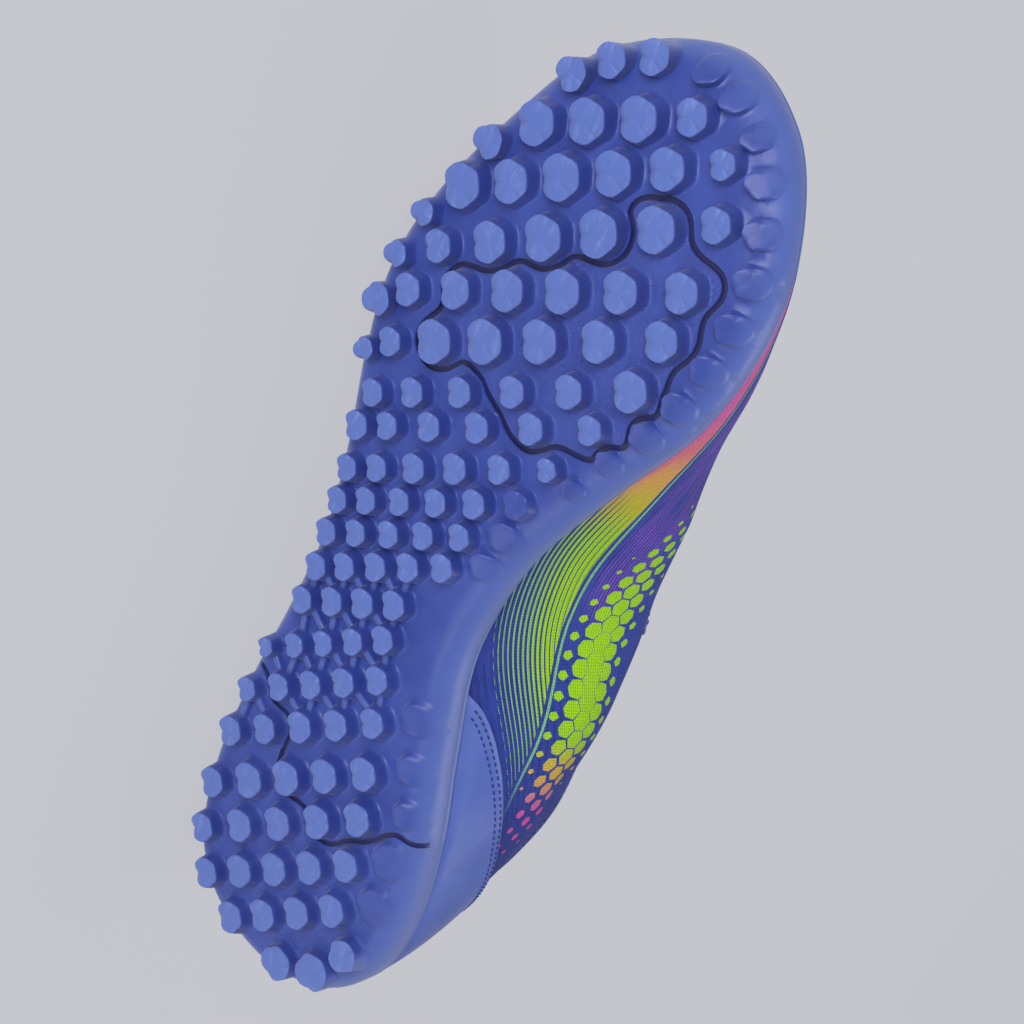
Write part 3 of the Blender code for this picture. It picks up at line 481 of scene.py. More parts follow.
# The wavy grooves in the tread, as shares of BALL_WIDTH and SOLE_LENGTH
FOREFOOT_GROOVE = (
    (-0.187, 0.868), (-0.256, 0.875), (-0.305, 0.870), (-0.333, 0.859), (-0.367, 0.849),
    (-0.420, 0.847), (-0.461, 0.844), (-0.479, 0.835), (-0.483, 0.822), (-0.462, 0.810),
    (-0.463, 0.800), (-0.482, 0.786), (-0.477, 0.770), (-0.452, 0.758), (-0.448, 0.747),
    (-0.463, 0.734), (-0.464, 0.717), (-0.447, 0.702), (-0.410, 0.672), (-0.385, 0.657),
    (-0.352, 0.649), (-0.305, 0.646), (-0.258, 0.645), (-0.226, 0.638), (-0.195, 0.625),
    (-0.157, 0.624), (-0.107, 0.629), (-0.078, 0.638), (-0.025, 0.647), (0.057, 0.663),
    (0.094, 0.661), (0.122, 0.649), (0.161, 0.639), (0.209, 0.644), (0.242, 0.658),
    (0.233, 0.675), (0.201, 0.690), (0.200, 0.701), (0.217, 0.715), (0.207, 0.730),
    (0.171, 0.740), (0.110, 0.744), (0.074, 0.758), (0.042, 0.769), (-0.030, 0.771),
    (-0.074, 0.794), (-0.129, 0.799), (-0.163, 0.801), (-0.195, 0.816), (-0.195, 0.830),
    (-0.169, 0.843), (-0.163, 0.856),
)
HEEL_GROOVE = (
    (0.333, 0.283), (0.301, 0.279), (0.253, 0.257), (0.186, 0.257), (0.163, 0.239),
    (0.165, 0.213), (0.094, 0.185), (0.037, 0.187), (-0.040, 0.166), (-0.095, 0.174),
    (-0.118, 0.186), (-0.162, 0.195), (-0.196, 0.204), (-0.224, 0.219), (-0.265, 0.230),
    (-0.309, 0.226), (-0.395, 0.241), (-0.425, 0.243),
)

# A groove's points: spacing, steps between two marks, the rounds that push it off the studs' tips
# and ease it, the share of each point that stays and that each neighbour adds, and the distances
GROOVE_STEP = 0.0008
GROOVE_STEPS = 12
GROOVE_ROUNDS = 24
GROOVE_PUSH = 0.5
GROOVE_KEEP = 0.7
GROOVE_EASE = 0.15
GROOVE_FROM_TIP = 0.0016
GROOVE_FROM_LOW_TIP = 0.0012

# Its section: depth, the half widths of its floor and its brink, and the lines of points beside it
GROOVE_DEPTH = 0.0009
GROOVE_FLOOR = 0.00045
GROOVE_BRINK = 0.00085
GROOVE_LINES = (0.0, 0.00045, 0.00085, 0.00125)
GROOVE_LINE_SHARE = 0.93
FAR_FROM_GROOVE = 0.01

# Soft troughs (less than nothing) and ridges of the upper: side (0 is both), station, share of the
# wall's height, half length and half width in metres, slant in degrees, height in metres
CREASES = (
    ("vamp flex", 0, 0.735, 0.62, 0.020, 0.0040, 62, -0.00050),
    ("vamp flex ridge", 0, 0.760, 0.66, 0.022, 0.0045, 58, 0.00035),
    ("toe flex", 0, 0.805, 0.58, 0.018, 0.0040, 66, -0.00040),
    ("ball hollow", -1, 0.655, 0.36, 0.024, 0.0080, 24, -0.00045),
    ("waist pull", -1, 0.500, 0.22, 0.030, 0.0070, -28, -0.00035),
    ("waist ridge", -1, 0.470, 0.42, 0.034, 0.0080, -26, 0.00035),
    ("ankle fold", 0, 0.300, 0.72, 0.022, 0.0060, -18, -0.00060),
    ("ankle ridge", 0, 0.285, 0.86, 0.020, 0.0060, -12, 0.00045),
    ("heel dip", 0, 0.060, 0.66, 0.016, 0.0090, 0, -0.00040),
)
SIDE_REACH = 0.320
WALL_REACH = 0.080

# The print on the upper, in the shoe's y and z in millimetres
FAN_CENTRE = (-25.0, 67.5)
FAN_FIRST = -17.5
FAN_LINE = 0.54
RIB_LINE = 0.30
CORD_LINE = 0.92
MOTIF_BACK = (45.0, 41.5)
MOTIF_FRONT = (176.0, 57.0)
MOTIF_HALF_WIDTH = 10.5
MOTIF_CELL = 5.6
PALE_LINE = (
    (60, 37.0), (92, 39.5), (115, 42.0), (131, 42.0), (143, 40.5), (156, 38.5), (174, 34.5),
    (190, 31.5), (205, 29.5), (216, 29.0), (243, 29.0), (262, 30.0),
)
PALE_MIDDLE = 160.0
PALE_CURVE = np.polyfit([(y - PALE_MIDDLE) / 100 for y, _ in PALE_LINE], [z for _, z in PALE_LINE], 6)


def sampled(function, first, last, count=500):
    at = np.linspace(first, last, count)
    values = np.array([function(v) for v in at])
    return lambda x: np.interp(x, at, values)


SPRINGS = sampled(spring, 0.0, SOLE_LENGTH)
ROLLS = {side: sampled(lambda y, s=side: roll_width(s, y), 0.0, SOLE_LENGTH) for side in (-1, 1)}


def roll_widths(sides, y):
    """How far the sole's edge is rolled in at many points."""
    return np.where(sides < 0, ROLLS[-1](y), ROLLS[1](y))


def soft_step(value, low, high):
    """0 below low, 1 above high, on numbers or arrays."""
    share = np.clip((np.asarray(value, float) - low) / (high - low), 0.0, 1.0)
    return share * share * (3 - 2 * share)


def outline_segments():
    """The outline's short straight pieces: both ends and the side."""
    rows = []
    for side, (curve, _) in EDGES.items():
        for a, b in zip(curve, curve[1:]):
            rows.append((a.x, a.y, b.x, b.y, side))
    return np.array(rows)


SEGMENTS = outline_segments()


def edge_gaps(points):
    """(distance to the outline, side) of many plan points."""
    a, along = SEGMENTS[:, 0:2], SEGMENTS[:, 2:4] - SEGMENTS[:, 0:2]
    square = np.maximum((along ** 2).sum(1), 1e-18)
    gaps, sides = [], []
    for block in np.array_split(points, len(points) // 2000 + 1):
        off = block[:, None] - a
        share = np.clip((off * along).sum(2) / square, 0, 1)
        distance = np.linalg.norm(off - along * share[..., None], axis=2)
        nearest = distance.argmin(1)
        gaps.append(distance[np.arange(len(block)), nearest])
        sides.append(SEGMENTS[nearest, 4])
    return np.concatenate(gaps), np.concatenate(sides)


def inside(points, polygon):
    """Which plan points lie inside the polygon."""
    a, b = polygon, np.roll(polygon, -1, axis=0)
    x, y = points[:, 0:1], points[:, 1:2]
    crosses = (a[:, 1] > y) != (b[:, 1] > y)
    rise = np.where(b[:, 1] == a[:, 1], 1e-12, b[:, 1] - a[:, 1])
    return (crosses & (x < a[:, 0] + (y - a[:, 1]) * (b[:, 0] - a[:, 0]) / rise)).sum(1) % 2 == 1


def tread_bases(points):
    """Height of the rubber between the studs at many plan points."""
    gap, side = edge_gaps(points)
    y = points[:, 1]
    width = roll_widths(side, y)
    away = np.clip((width - gap) / width, 0.0, 1.0)
    drop = 1 - np.sqrt(1 - away ** 2)
    return SPRINGS(y) + STUD_HEIGHT + drop * ROLL_RISE * (SIDE_HEIGHT - STUD_HEIGHT)


class Studs:
    """Every stud's centre, row direction, base, tip and how low it is."""

    def __init__(self):
        places = stud_places()
        self.centres = np.array([place[0] for place in places])
        self.rows = np.array([place[1] for place in places])
        on_edge = np.array([place[2] for place in places])
        gaps, sides = edge_gaps(self.centres)
        apart = np.linalg.norm(self.centres[:, None] - self.centres, axis=2) + np.eye(len(places))
        room = 2 * (gaps - STUD_EDGE_MARGIN) * math.cos(math.pi / STUD_SIDES)
        ring = on_edge.astype(float)
        shares = apart * (1 + ROW_SHARE * (ring[None, :] - ring[:, None]))
        np.fill_diagonal(shares, 1.0)
        across = np.minimum(np.minimum(STUD_BASE, shares.min(1) * STUD_FILL), room)
        self.feet = across / 2 * STUD_FOOT_SPREAD
        draft = np.where(on_edge, RING_DRAFT, STUD_DRAFT)
        ahead = soft_step(self.centres[:, 1] / SOLE_LENGTH, *FOREFOOT_SHARES)
        extra = STUD_TIP_EXTRA_HEEL + (STUD_TIP_EXTRA_FOREFOOT - STUD_TIP_EXTRA_HEEL) * ahead
        self.tips = across / 2 - draft + np.where(on_edge, STUD_TIP_EXTRA_FOREFOOT, extra)
        self.tips += np.where((room <= across) & (sides > 0), STUD_OVERHANG, 0.0)
        near = 1 - soft_step(gaps, LOW_STUD_NEAR, LOW_STUD_FAR)
        rolled = (sides < 0) & (self.centres[:, 1] > LOW_STUD_START * SOLE_LENGTH)
        self.lowness = np.where(rolled, near, 0.0)


STUDS = Studs()


def spaced(path, step, closed):
    """The path with its points an even step apart."""
    if closed:
        path = np.vstack([path, path[:1]])
    run = np.concatenate([[0.0], np.cumsum(np.linalg.norm(np.diff(path, axis=0), axis=1))])
    count = max(4, round(run[-1] / step))
    at = np.linspace(0, run[-1], count + 1)
    if closed:
        at = at[:-1]
    return np.stack([np.interp(at, run, path[:, 0]), np.interp(at, run, path[:, 1])], axis=1)


def groove_path(marks, closed):
    """A smooth line through the marks that keeps off the studs' tips."""
    marks = [Vector((x * BALL_WIDTH, y * SOLE_LENGTH)) for x, y in marks]
    chain = [marks[-1]] + marks + marks[:2] if closed else [marks[0]] + marks + [marks[-1]]
    path = spaced(np.array(curve_through(chain, GROOVE_STEPS)), GROOVE_STEP, closed)
    need = STUDS.tips + np.where(STUDS.lowness > 0.5, GROOVE_FROM_LOW_TIP, GROOVE_FROM_TIP)
    for _ in range(GROOVE_ROUNDS):
        off = path[:, None] - STUDS.centres
        distance = np.linalg.norm(off, axis=2)
        push = np.clip(need - distance, 0, None)[..., None] * off / distance[..., None]
        path = path + push.sum(1) * GROOVE_PUSH
        after, before = np.roll(path, -1, axis=0), np.roll(path, 1, axis=0)
        soft = path * GROOVE_KEEP + (after + before) * GROOVE_EASE
        if not closed:
            soft[0], soft[-1] = path[0], path[-1]
        path = soft
    return spaced(path, GROOVE_STEP, closed)


GROOVES = ((groove_path(FOREFOOT_GROOVE, True), True), (groove_path(HEEL_GROOVE, False), False))
ALL_GROOVES = np.vstack([path for path, _ in GROOVES])


def groove_gaps(points):
    """Distance of each plan point from the nearest groove's middle."""
    blocks = np.array_split(points, len(points) // 2000 + 1)
    return np.concatenate([np.linalg.norm(b[:, None] - ALL_GROOVES, axis=2).min(1) for b in blocks])


def groove_depths(gaps):
    return GROOVE_DEPTH * (1 - soft_step(gaps, GROOVE_FLOOR, GROOVE_BRINK))


def linked(name, data):
    """A new object in the scene."""
    obj = bpy.data.objects.new(name, data)
    bpy.context.scene.collection.objects.link(obj)
    return obj


def new_piece(name, verts, faces, node, materials, fields=None, soft=180, face_materials=None):
    """A mesh piece from points in the shoe's frame, which it keeps as the attribute shoe."""
    verts = np.asarray(verts, float).reshape(-1, 3)
    turn = np.array(POSE)
    mesh = bpy.data.meshes.new(name)
    mesh.from_pydata((verts @ turn[:3, :3].T + turn[:3, 3]).tolist(), [], faces)
    mesh.attributes.new("shoe", "FLOAT_VECTOR", "POINT").data.foreach_set("vector", verts.ravel())
    for key, values in (fields or {}).items():
        mesh.attributes.new(key, "FLOAT", "POINT").data.foreach_set("value", np.asarray(values, float))
    for material in materials:
        mesh.materials.append(material)
    if face_materials is not None:
        mesh.polygons.foreach_set("material_index", face_materials)
    bm = bmesh.new()
    bm.from_mesh(mesh)
    bmesh.ops.recalc_face_normals(bm, faces=bm.faces)
    bm.to_mesh(mesh)
    bm.free()
    mesh.shade_smooth()
    if soft < 180:
        mesh.set_sharp_from_angle(angle=math.radians(soft))
    obj = linked(name, mesh)
    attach(obj, "root")
    if node:
        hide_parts(node)
    return obj


def rim_stations(half):
    """Stations round the sole, from the heel's back past the medial side to the toe and back."""
    return [(-1, k / half) for k in range(half + 1)] + [(1, k / half) for k in range(half - 1, 0, -1)]


def ring_faces(low, high):
    """Faces between two closed rings of as many points."""
    count = len(low)
    return [(low[k], low[(k + 1) % count], high[(k + 1) % count], high[k]) for k in range(count)]


def cap_faces(ring, half):
    """Faces from side to side that close a ring of points made by rim_stations."""
    faces = []
    for k in range(half):
        corners = [ring[k], ring[k + 1], ring[-(k + 1)], ring[-k] if k else ring[0]]
        faces.append(list(dict.fromkeys(corners)))
    return faces


def sheet_faces(rows, columns):
    """Faces of a closed sheet: two grids of points, one after the other, and their shared border."""
    size = rows * columns
    faces = []
    for layer in (0, 1):
        for r in range(rows - 1):
            for c in range(columns - 1):
                k = layer * size + r * columns + c
                faces.append((k, k + 1, k + columns + 1, k + columns))
    border = [(0, c) for c in range(columns)] + [(r, columns - 1) for r in range(1, rows)]
    border += [(rows - 1, c) for c in range(columns - 2, -1, -1)] + [(r, 0) for r in range(rows - 2, 0, -1)]
    ring = [r * columns + c for r, c in border]
    return faces + [(a, b, b + size, a + size) for a, b in zip(ring, ring[1:] + ring[:1])]


def lobe_angles(row):
    """The angles round a stud, closest together at its three valleys."""
    lobes = [math.radians(60 + 120 * lobe + step) for lobe in range(3) for step in STUD_LOBE_ANGLES]
    return row + np.array(lobes)


def stud_foot(index):
    """(angles, radii, directions) of a stud's foot, drawn in where a groove or the rim runs past it."""
    angles = lobe_angles(STUDS.rows[index])
    centre, foot, tip = STUDS.centres[index], STUDS.feet[index], STUDS.tips[index]
    spokes = np.stack([np.cos(angles), np.sin(angles)], axis=1)
    radii = foot * (1 + FOOT_SIXES * np.cos(6 * (angles - STUDS.rows[index])))
    least = min(tip + FOOT_PAST_TIP, foot * FOOT_LEAST_SHARE) - LOW_FOOT_CUT * STUDS.lowness[index]
    for _ in range(FOOT_TRIES):
        spots = centre + spokes * radii[:, None]
        near = (groove_gaps(spots) < GROOVE_BRINK + FOOT_TRIM) | (edge_gaps(spots)[0] < STUD_RIM_GAP)
        radii = np.where(near, np.maximum(radii - FOOT_TRIM, least), radii)
    return angles, radii, spokes


def tread_bars():
    """(plan points, heights) of each bar: a low ridge that points from one stud to another."""
    bars, first = [], 0
    starts = {}
    for name, *_, count, _ in STUD_ROWS:
        starts[name] = (first, count)
        first += count
    for one, other in zip(BAR_ROWS, BAR_ROWS[1:]):
        (a, m), (b, n) = starts[one], starts[other]
        for i in range(a, a + m):
            for j in range(b, b + n):
                way = STUDS.centres[j] - STUDS.centres[i]
                apart = np.linalg.norm(way)
                if apart > BAR_REACH or max(STUDS.lowness[i], STUDS.lowness[j]) > 0.5:
                    continue
                way /= apart
                aside = np.array([-way[1], way[0]])
                middle = (STUDS.centres[i] + STUDS.centres[j]) / 2
                if groove_gaps(middle[None, :])[0] < BAR_FROM_GROOVE:
                    continue
                spots = np.array([
                    middle + way * along * apart * BAR_LENGTH / 2 + aside * across * BAR_WIDTH / 2
                    for across, along in BAR_PLAN
                ])
                drop = np.array([BAR_HEIGHT * level - BAR_SUNK for level in BAR_LEVELS])
                bars.append((spots, tread_bases(spots) - drop))
    return bars


def groove_lines(rim):
    """Points in lines along the grooves: their floors, walls and brinks."""
    lines = []
    for path, closed in GROOVES:
        along = np.roll(path, -1, axis=0) - np.roll(path, 1, axis=0)
        if not closed:
            along[0], along[-1] = path[1] - path[0], path[-1] - path[-2]
        across = np.stack([-along[:, 1], along[:, 0]], axis=1)
        across /= np.linalg.norm(across, axis=1)[:, None]
        for offset in GROOVE_LINES:
            for sign in ((1,) if offset == 0 else (1, -1)):
                line = path + across * offset * sign
                lines.append(line[groove_gaps(line) > offset * GROOVE_LINE_SHARE])
    lines = np.vstack(lines)
    lines = lines[inside(lines, rim)]
    return lines[edge_gaps(lines)[0] > RIM_CLEAR]


def tread_points(rim, out, width, feet):
    """The tread's free points: an even net, the rings of the rolled edge, and lines along the grooves."""
    rings = []
    for step in range(1, ROLL_STEPS + 1):
        inset = width * (1 - math.cos(math.pi / 2 * step / ROLL_STEPS))
        rings.append(rim - out * inset[:, None])
    rings = np.vstack(rings)
    rings = rings[groove_gaps(rings) > GROOVE_LINES[-1] + RING_CLEAR]
    pitch = TREAD_SPACING
    net = []
    for r in range(int(SOLE_LENGTH / (pitch * math.sqrt(0.75))) + 1):
        y = r * pitch * math.sqrt(0.75)
        xs = np.arange(NET_SIDES[0] * BALL_WIDTH, NET_SIDES[1] * BALL_WIDTH, pitch) + (r % 2) * pitch / 2
        net.append(np.stack([xs, np.full(len(xs), y)], axis=1))
    net = np.vstack(net)
    net = net[inside(net, rim)]
    gap, side = edge_gaps(net)
    net = net[gap > roll_widths(side, net[:, 1]) + pitch / 3]
    net = net[groove_gaps(net) > GROOVE_LINES[-1] + pitch * 0.4]
    free = np.vstack([net, rings, groove_lines(rim)])
    clear = np.ones(len(free), bool)
    for index, (angles, radii, _) in enumerate(feet):
        off = free - STUDS.centres[index]
        distance = np.linalg.norm(off, axis=1)
        close = distance < STUDS.feet[index] + MM
        turn = np.mod(np.arctan2(off[close, 1], off[close, 0]) - angles[0], 2 * math.pi)
        order = np.append(angles - angles[0], 2 * math.pi)
        reach = np.interp(turn, order, np.append(radii, radii[0]))
        clear[np.where(close)[0][distance[close] < reach + FOOT_CLEAR]] = False
    return free[clear]


def tread_plan(rim, free, feet):
    """(points, faces, the rim's ring, the studs' rings) of the tread, with a hole for each stud."""
    count = len(rim)
    plan = [Vector(p) for p in rim]
    edges = [(k, (k + 1) % count) for k in range(count)]
    rings = []
    for centre, (_, radii, spokes) in zip(STUDS.centres, feet):
        first = len(plan)
        plan += [Vector(p) for p in centre + spokes * radii[:, None]]
        ring = list(range(first, len(plan)))
        rings.append(ring)
        edges += list(zip(ring, ring[1:] + ring[:1]))
    plan += [Vector(p) for p in free]
    flat, _, faces, origins, _, _ = delaunay_2d_cdt(plan, edges, [], 1, 1e-7)
    where = {}
    for new, olds in enumerate(origins):
        for old in olds:
            where[old] = new
    rings = [[where[k] for k in ring] for ring in rings]
    members = {}
    for index, ring in enumerate(rings):
        for corner in ring:
            members.setdefault(corner, set()).add(index)
    faces = [f for f in faces if not set.intersection(*[members.get(v, set()) for v in f])]
    return np.array([(v[0], v[1]) for v in flat]), faces, [where[k] for k in range(count)], rings


class Rubber:
    """Gathers the sole's points, with their fields, and its faces."""

    def __init__(self, faces):
        self.verts, self.faces, self.made = [], faces, 0
        # tip carries the paler paint of the tips, a painted highlight, and wall the painted shade on the
        # studs' walls
        self.fields = {"groove": [], "tip": [], "wall": []}

    def add(self, spots, z, tip=0.0, wall=0.0, groove=FAR_FROM_GROOVE):
        """Adds points and gives their numbers."""
        count = len(spots)
        self.verts.append(np.column_stack([spots, z]))
        for name, value in (("groove", groove), ("tip", tip), ("wall", wall)):
            self.fields[name].append(np.broadcast_to(value, count))
        self.made += count
        return list(range(self.made - count, self.made))

    def climb(self, ring, spots, z, **fields):
        """Adds a ring above another and gives it."""
        here = self.add(spots, z, **fields)
        self.faces += ring_faces(ring, here)
        return here


def add_stud(rubber, index, ring, foot):
    """One stud on the ring of its foot: a bevelled wall and a tip with three creases."""
    centre, row, lowness = STUDS.centres[index], STUDS.rows[index], STUDS.lowness[index]
    angles, radii, spokes = foot
    third = np.mod(angles - row + math.pi / 3, 2 * math.pi / 3) / (2 * math.pi / 3)
    from_valley = (1 - np.abs(third - 0.5) * 2) * 60
    crease = np.exp(-(from_valley / STUD_CREASE) ** 2) * STUD_CREASE_DEPTH
    notch = np.clip(1 - from_valley / STUD_VALLEY_HALF, 0, 1)
    at_back = np.clip(np.cos(angles - row - math.pi), 0, 1) ** 2
    waves = STUD_LOBES * np.cos(3 * (angles - row)) + STUD_SIXES * np.cos(6 * (angles - row))
    tip_edge = STUDS.tips[index] * (1 + waves - notch * (STUD_NOTCH + STUD_BACK_NOTCH * at_back))
    valley = STUD_VALLEY * (1 + STUD_AT_BACK * at_back) * notch
    ground = float(SPRINGS(centre[1]))
    inner = edge_gaps(centre[None, :])[0][0]
    tip_shade = 1 - LOW_STUD_FADE * lowness

    def tips_at(spots):
        lean = np.clip((edge_gaps(spots)[0] - inner) / STUDS.tips[index], -1, 1)
        low = np.maximum(ground, tread_bases(spots) - LOW_STUD_RELIEF * (1 + LOW_STUD_LEAN * lean))
        return ground + (low - ground) * lowness

    for _, inward, rise in STUD_WALL:
        height = rise + (float(soft_step(inward, 0.0, STUD_WALL[-1][1])) - rise) * lowness * 0.5
        reach = tip_edge + (radii - tip_edge) * (1 - inward)
        spots = centre + spokes * reach[:, None]
        base, tip = tread_bases(spots), tips_at(spots)
        dip = valley * height ** 4 * (1 - 0.5 * lowness)
        # How much painted shade this ring of the wall gets: none at the foot, at the tip's bevel or on low
        # studs
        wall = float(soft_step(height, 0.02, 0.3) * (1 - soft_step(height, 0.86, 1.0))) * (1 - lowness)
        z = base + (tip - base) * height + dip
        ring = rubber.climb(ring, spots, z, tip=height * tip_shade, wall=wall)
    for share in STUD_TIP_RINGS:
        spots = centre + spokes * (tip_edge * share)[:, None]
        crown = (valley * share ** 5 + crease * share) * (1 - LOW_STUD_CREASE_FADE * lowness)
        ring = rubber.climb(ring, spots, tips_at(spots) + crown + TIP_SINK * (1 - share), tip=tip_shade)
    spot = centre[None, :]
    middle, = rubber.add(spot, tips_at(spot) + TIP_SINK, tip=tip_shade)
    rubber.faces += [(ring[k], ring[(k + 1) % len(ring)], middle) for k in range(len(ring))]


def build_outsole(material):
    """The rubber: grooved, rolled tread, lobed studs, side wall, rounded lip and footbed."""
    stations = rim_stations(TREAD_STATIONS)
    rim = np.array([edge_point(*at) for at in stations])
    out = np.array([edge_normal(*at) for at in stations])
    width = roll_widths(np.array([side for side, _ in stations]), rim[:, 1])
    feet = [stud_foot(index) for index in range(len(STUDS.centres))]
    points, faces, rim_ring, rings = tread_plan(rim, tread_points(rim, out, width, feet), feet)
    gaps = groove_gaps(points)
    heights = tread_bases(points) + groove_depths(gaps)
    rubber = Rubber(faces)
    rubber.add(points, heights, groove=gaps)
    for index, ring in enumerate(rings):
        add_stud(rubber, index, ring, feet[index])
    for spots, z in tread_bars():
        ring = rubber.add(spots, z, tip=np.array([BAR_SHADE[round(level)] for level in BAR_LEVELS]))
        rubber.faces += [tuple(ring[k] for k in face) for face in BAR_FACES]

    # The side wall, the rounded lip and the step down to the footbed
    low = heights[rim_ring]
    top = np.array([lip_top(y) for y in rim[:, 1]])
    ledge = [(inset, low + (top - low) * share) for inset, share in SIDE_WALL]
    ledge += [(inset, top - drop) for inset, drop in LIP]
    ledge.append((LIP_WIDTH, np.array([footbed(y) for y in rim[:, 1]])))
    ring = rim_ring
    for inset, z in ledge:
        ring = rubber.climb(ring, rim - out * inset, z)
    rubber.faces += cap_faces(ring, TREAD_STATIONS)

    verts = np.vstack(rubber.verts)
    fields = {name: np.concatenate(values) for name, values in rubber.fields.items()}
    fields["groove"] = fields["groove"] / MM
    forefoot = inside(verts[:, :2], GROOVES[0][0])
    heel_path = GROOVES[1][0][::-1]
    behind = verts[:, 1] < np.interp(verts[:, 0], heel_path[:, 0], heel_path[:, 1])
    fields["grain"] = (forefoot | behind).astype(float)
    # Distance from the edge in millimetres, which the rubber's paint uses for a painted sheen along the
    # rolled rim
    fields["rim"] = edge_gaps(verts[:, :2])[0] / MM
    return new_piece("turf_outsole", verts, rubber.faces, "outsole", [material], fields, soft=50)


@lru_cache(maxsize=None)
def wall_section(side, station):
    """The wall at one station: its foot, its top, how far it arches, how it swells, and its way out."""
    seat = inset_point(side, station, LIP_WIDTH + CLEARANCE)
    low = Vector((seat.x, seat.y, lip_top(edge_point(side, station).y) + CLEARANCE * 2))
    arch = clamp(read_table(TOP_LINE, station, 6))
    swell = read_table(SWELL, station, 2 if side < 0 else 4) * BALL_WIDTH
    peak = read_table(SWELL, station, 3 if side < 0 else 5)
    out = edge_normal(side, station)
    bend = math.log(0.5) / math.log(peak)
    return low, top_point(side, station), arch, swell, bend, Vector((out.x, out.y, 0))


def upper_point(side, station, share):
    """The upper's outer surface: share 0 is at the lip's top, 1 at the top line or ridge."""
    low, top, arch, swell, bend, out = wall_section(side, station)
    turn = share * math.pi / 2
    over = 1 - math.cos(turn)
    rise = math.sin(turn)
    straight = low.lerp(top, share)
    arched = Vector((low.x + (top.x - low.x) * over, low.y + (top.y - low.y) * over,
                     low.z + (top.z - low.z) * rise))
    return straight.lerp(arched, arch) + out * (swell * math.sin(math.pi * share ** bend))


def upper_normal(side, station, share):
    """The outer surface's outward direction, from its neighbours on both sides of the point."""
    if share < 0.02:
        out = edge_normal(side, station)
        return Vector((out.x, out.y, 0))
    step = 0.006

    def at(along, up):
        along_side = side
        if along < 0:
            along, along_side = -along, -side
        if along > 1:
            along, along_side = 2 - along, -side
        return upper_point(along_side, along, clamp(up))

    run = at(station + step, share) - at(station - step, share)
    rise = at(station, share + step) - at(station, share - step)
    normal = run.cross(rise)
    if station >= VAMP_STATION and share > 0.999:
        left = upper_point(-1, station, 1 - step * 4)
        right = upper_point(1, station, 1 - step * 4)
        normal = (top_point(1, station + step) - top_point(1, station - step)).cross(left - right)
        if normal.z < 0:
            normal = -normal
        return normal.normalized()
    normal = normal * side
    return normal.normalized() if normal.length > 0 else Vector((0, 0, 1))


def skin_point(side, station, share, depth):
    """A point this deep under the upper's outer surface (less than nothing is outside it)."""
    return upper_point(side, station, share) - upper_normal(side, station, share) * depth


def crease_height(side, station, share):
    """How far the creases move the upper's surface out at one place."""
    total = 0.0
    for _, on_side, at, up, length, width, slant, height in CREASES:
        if on_side and on_side != side:
            continue
        a, b = (station - at) * SIDE_REACH, (share - up) * WALL_REACH
        turn = math.radians(slant)
        along = (a * math.cos(turn) + b * math.sin(turn)) / length
        across = (b * math.cos(turn) - a * math.sin(turn)) / width
        if abs(along) < 3 and abs(across) < 3:
            total += height * math.exp(-along * along - across * across)
    return total * smooth(share / 0.08) * smooth((1 - share) / 0.06)


def cloth_point(side, station, share, depth=0.0):
    """A point this deep under the creased outer surface."""
    raised = crease_height(side, station, share)
    return upper_point(side, station, share) + upper_normal(side, station, share) * (raised - depth)


def print_fields(points, shares):
    """The upper's printed pattern, from the side view of each point: line numbers, widths and hues."""
    y, z = points[:, 1] / MM, points[:, 2] / MM
    angle = np.degrees(np.arctan2(z - FAN_CENTRE[1], y - FAN_CENTRE[0]))
    reach = np.hypot(y - FAN_CENTRE[0], z - FAN_CENTRE[1])
    pale = np.polyval(PALE_CURVE, np.clip((y - PALE_MIDDLE) / 100, -1.0, 1.02))
    under = pale - z
    number = (angle - FAN_FIRST) / FAN_LINE
    # Thin at the back of the fan and towards the heel, almost solid at its front
    duty = (0.30 + 0.60 * soft_step(number, 1.0, 16.0)) * (0.50 + 0.50 * soft_step(reach, 85, 150))
    duty = duty * soft_step(number, -0.4, 0.2) * soft_step(reach, 50, 66)
    back, front = np.array(MOTIF_BACK), np.array(MOTIF_FRONT)
    axis = (front - back) / np.linalg.norm(front - back)
    length = np.linalg.norm(front - back)
    along = (y - back[0]) * axis[0] + (z - back[1]) * axis[1]
    across = (z - back[1]) * axis[0] - (y - back[0]) * axis[1]
    bow = across - 3.0 * np.sin(math.pi * np.clip(along / length, 0, 1))
    sides = (np.abs(bow) / MOTIF_HALF_WIDTH) ** 2.2
    fill = 1.15 * (1 - np.abs(2 * along / length - 1.05) ** 2.2) - sides * 0.8
    return {
        "fan": number,
        "duty": duty,
        "solid": soft_step(y, 160, 190),
        "under": under - 40 * soft_step(y, 248, 266),
        "hue": soft_step(y, 150, 224) + 0.30 * soft_step(24 - z, 0, 6) * soft_step(y, 150, 190),
        "pale": soft_step(y, 66, 92) * (1 - soft_step(y, 222, 236)),
        "violet": soft_step(-under, 0.3, 2.0) * (1 - soft_step(-under, 13, 24))
        * soft_step(y, 120, 142) * (1 - soft_step(y, 214, 236)),
        "motif_u": along / MOTIF_CELL,
        "motif_v": bow / MOTIF_CELL,
        "motif_fill": np.clip(fill, 0.0, 1.2),
        "motif_hue": 1 - soft_step(along, 12, 62),
        "rib": (angle + 40) / RIB_LINE,
        "cord": (angle + 40) / CORD_LINE,
        "share": shares,
    }


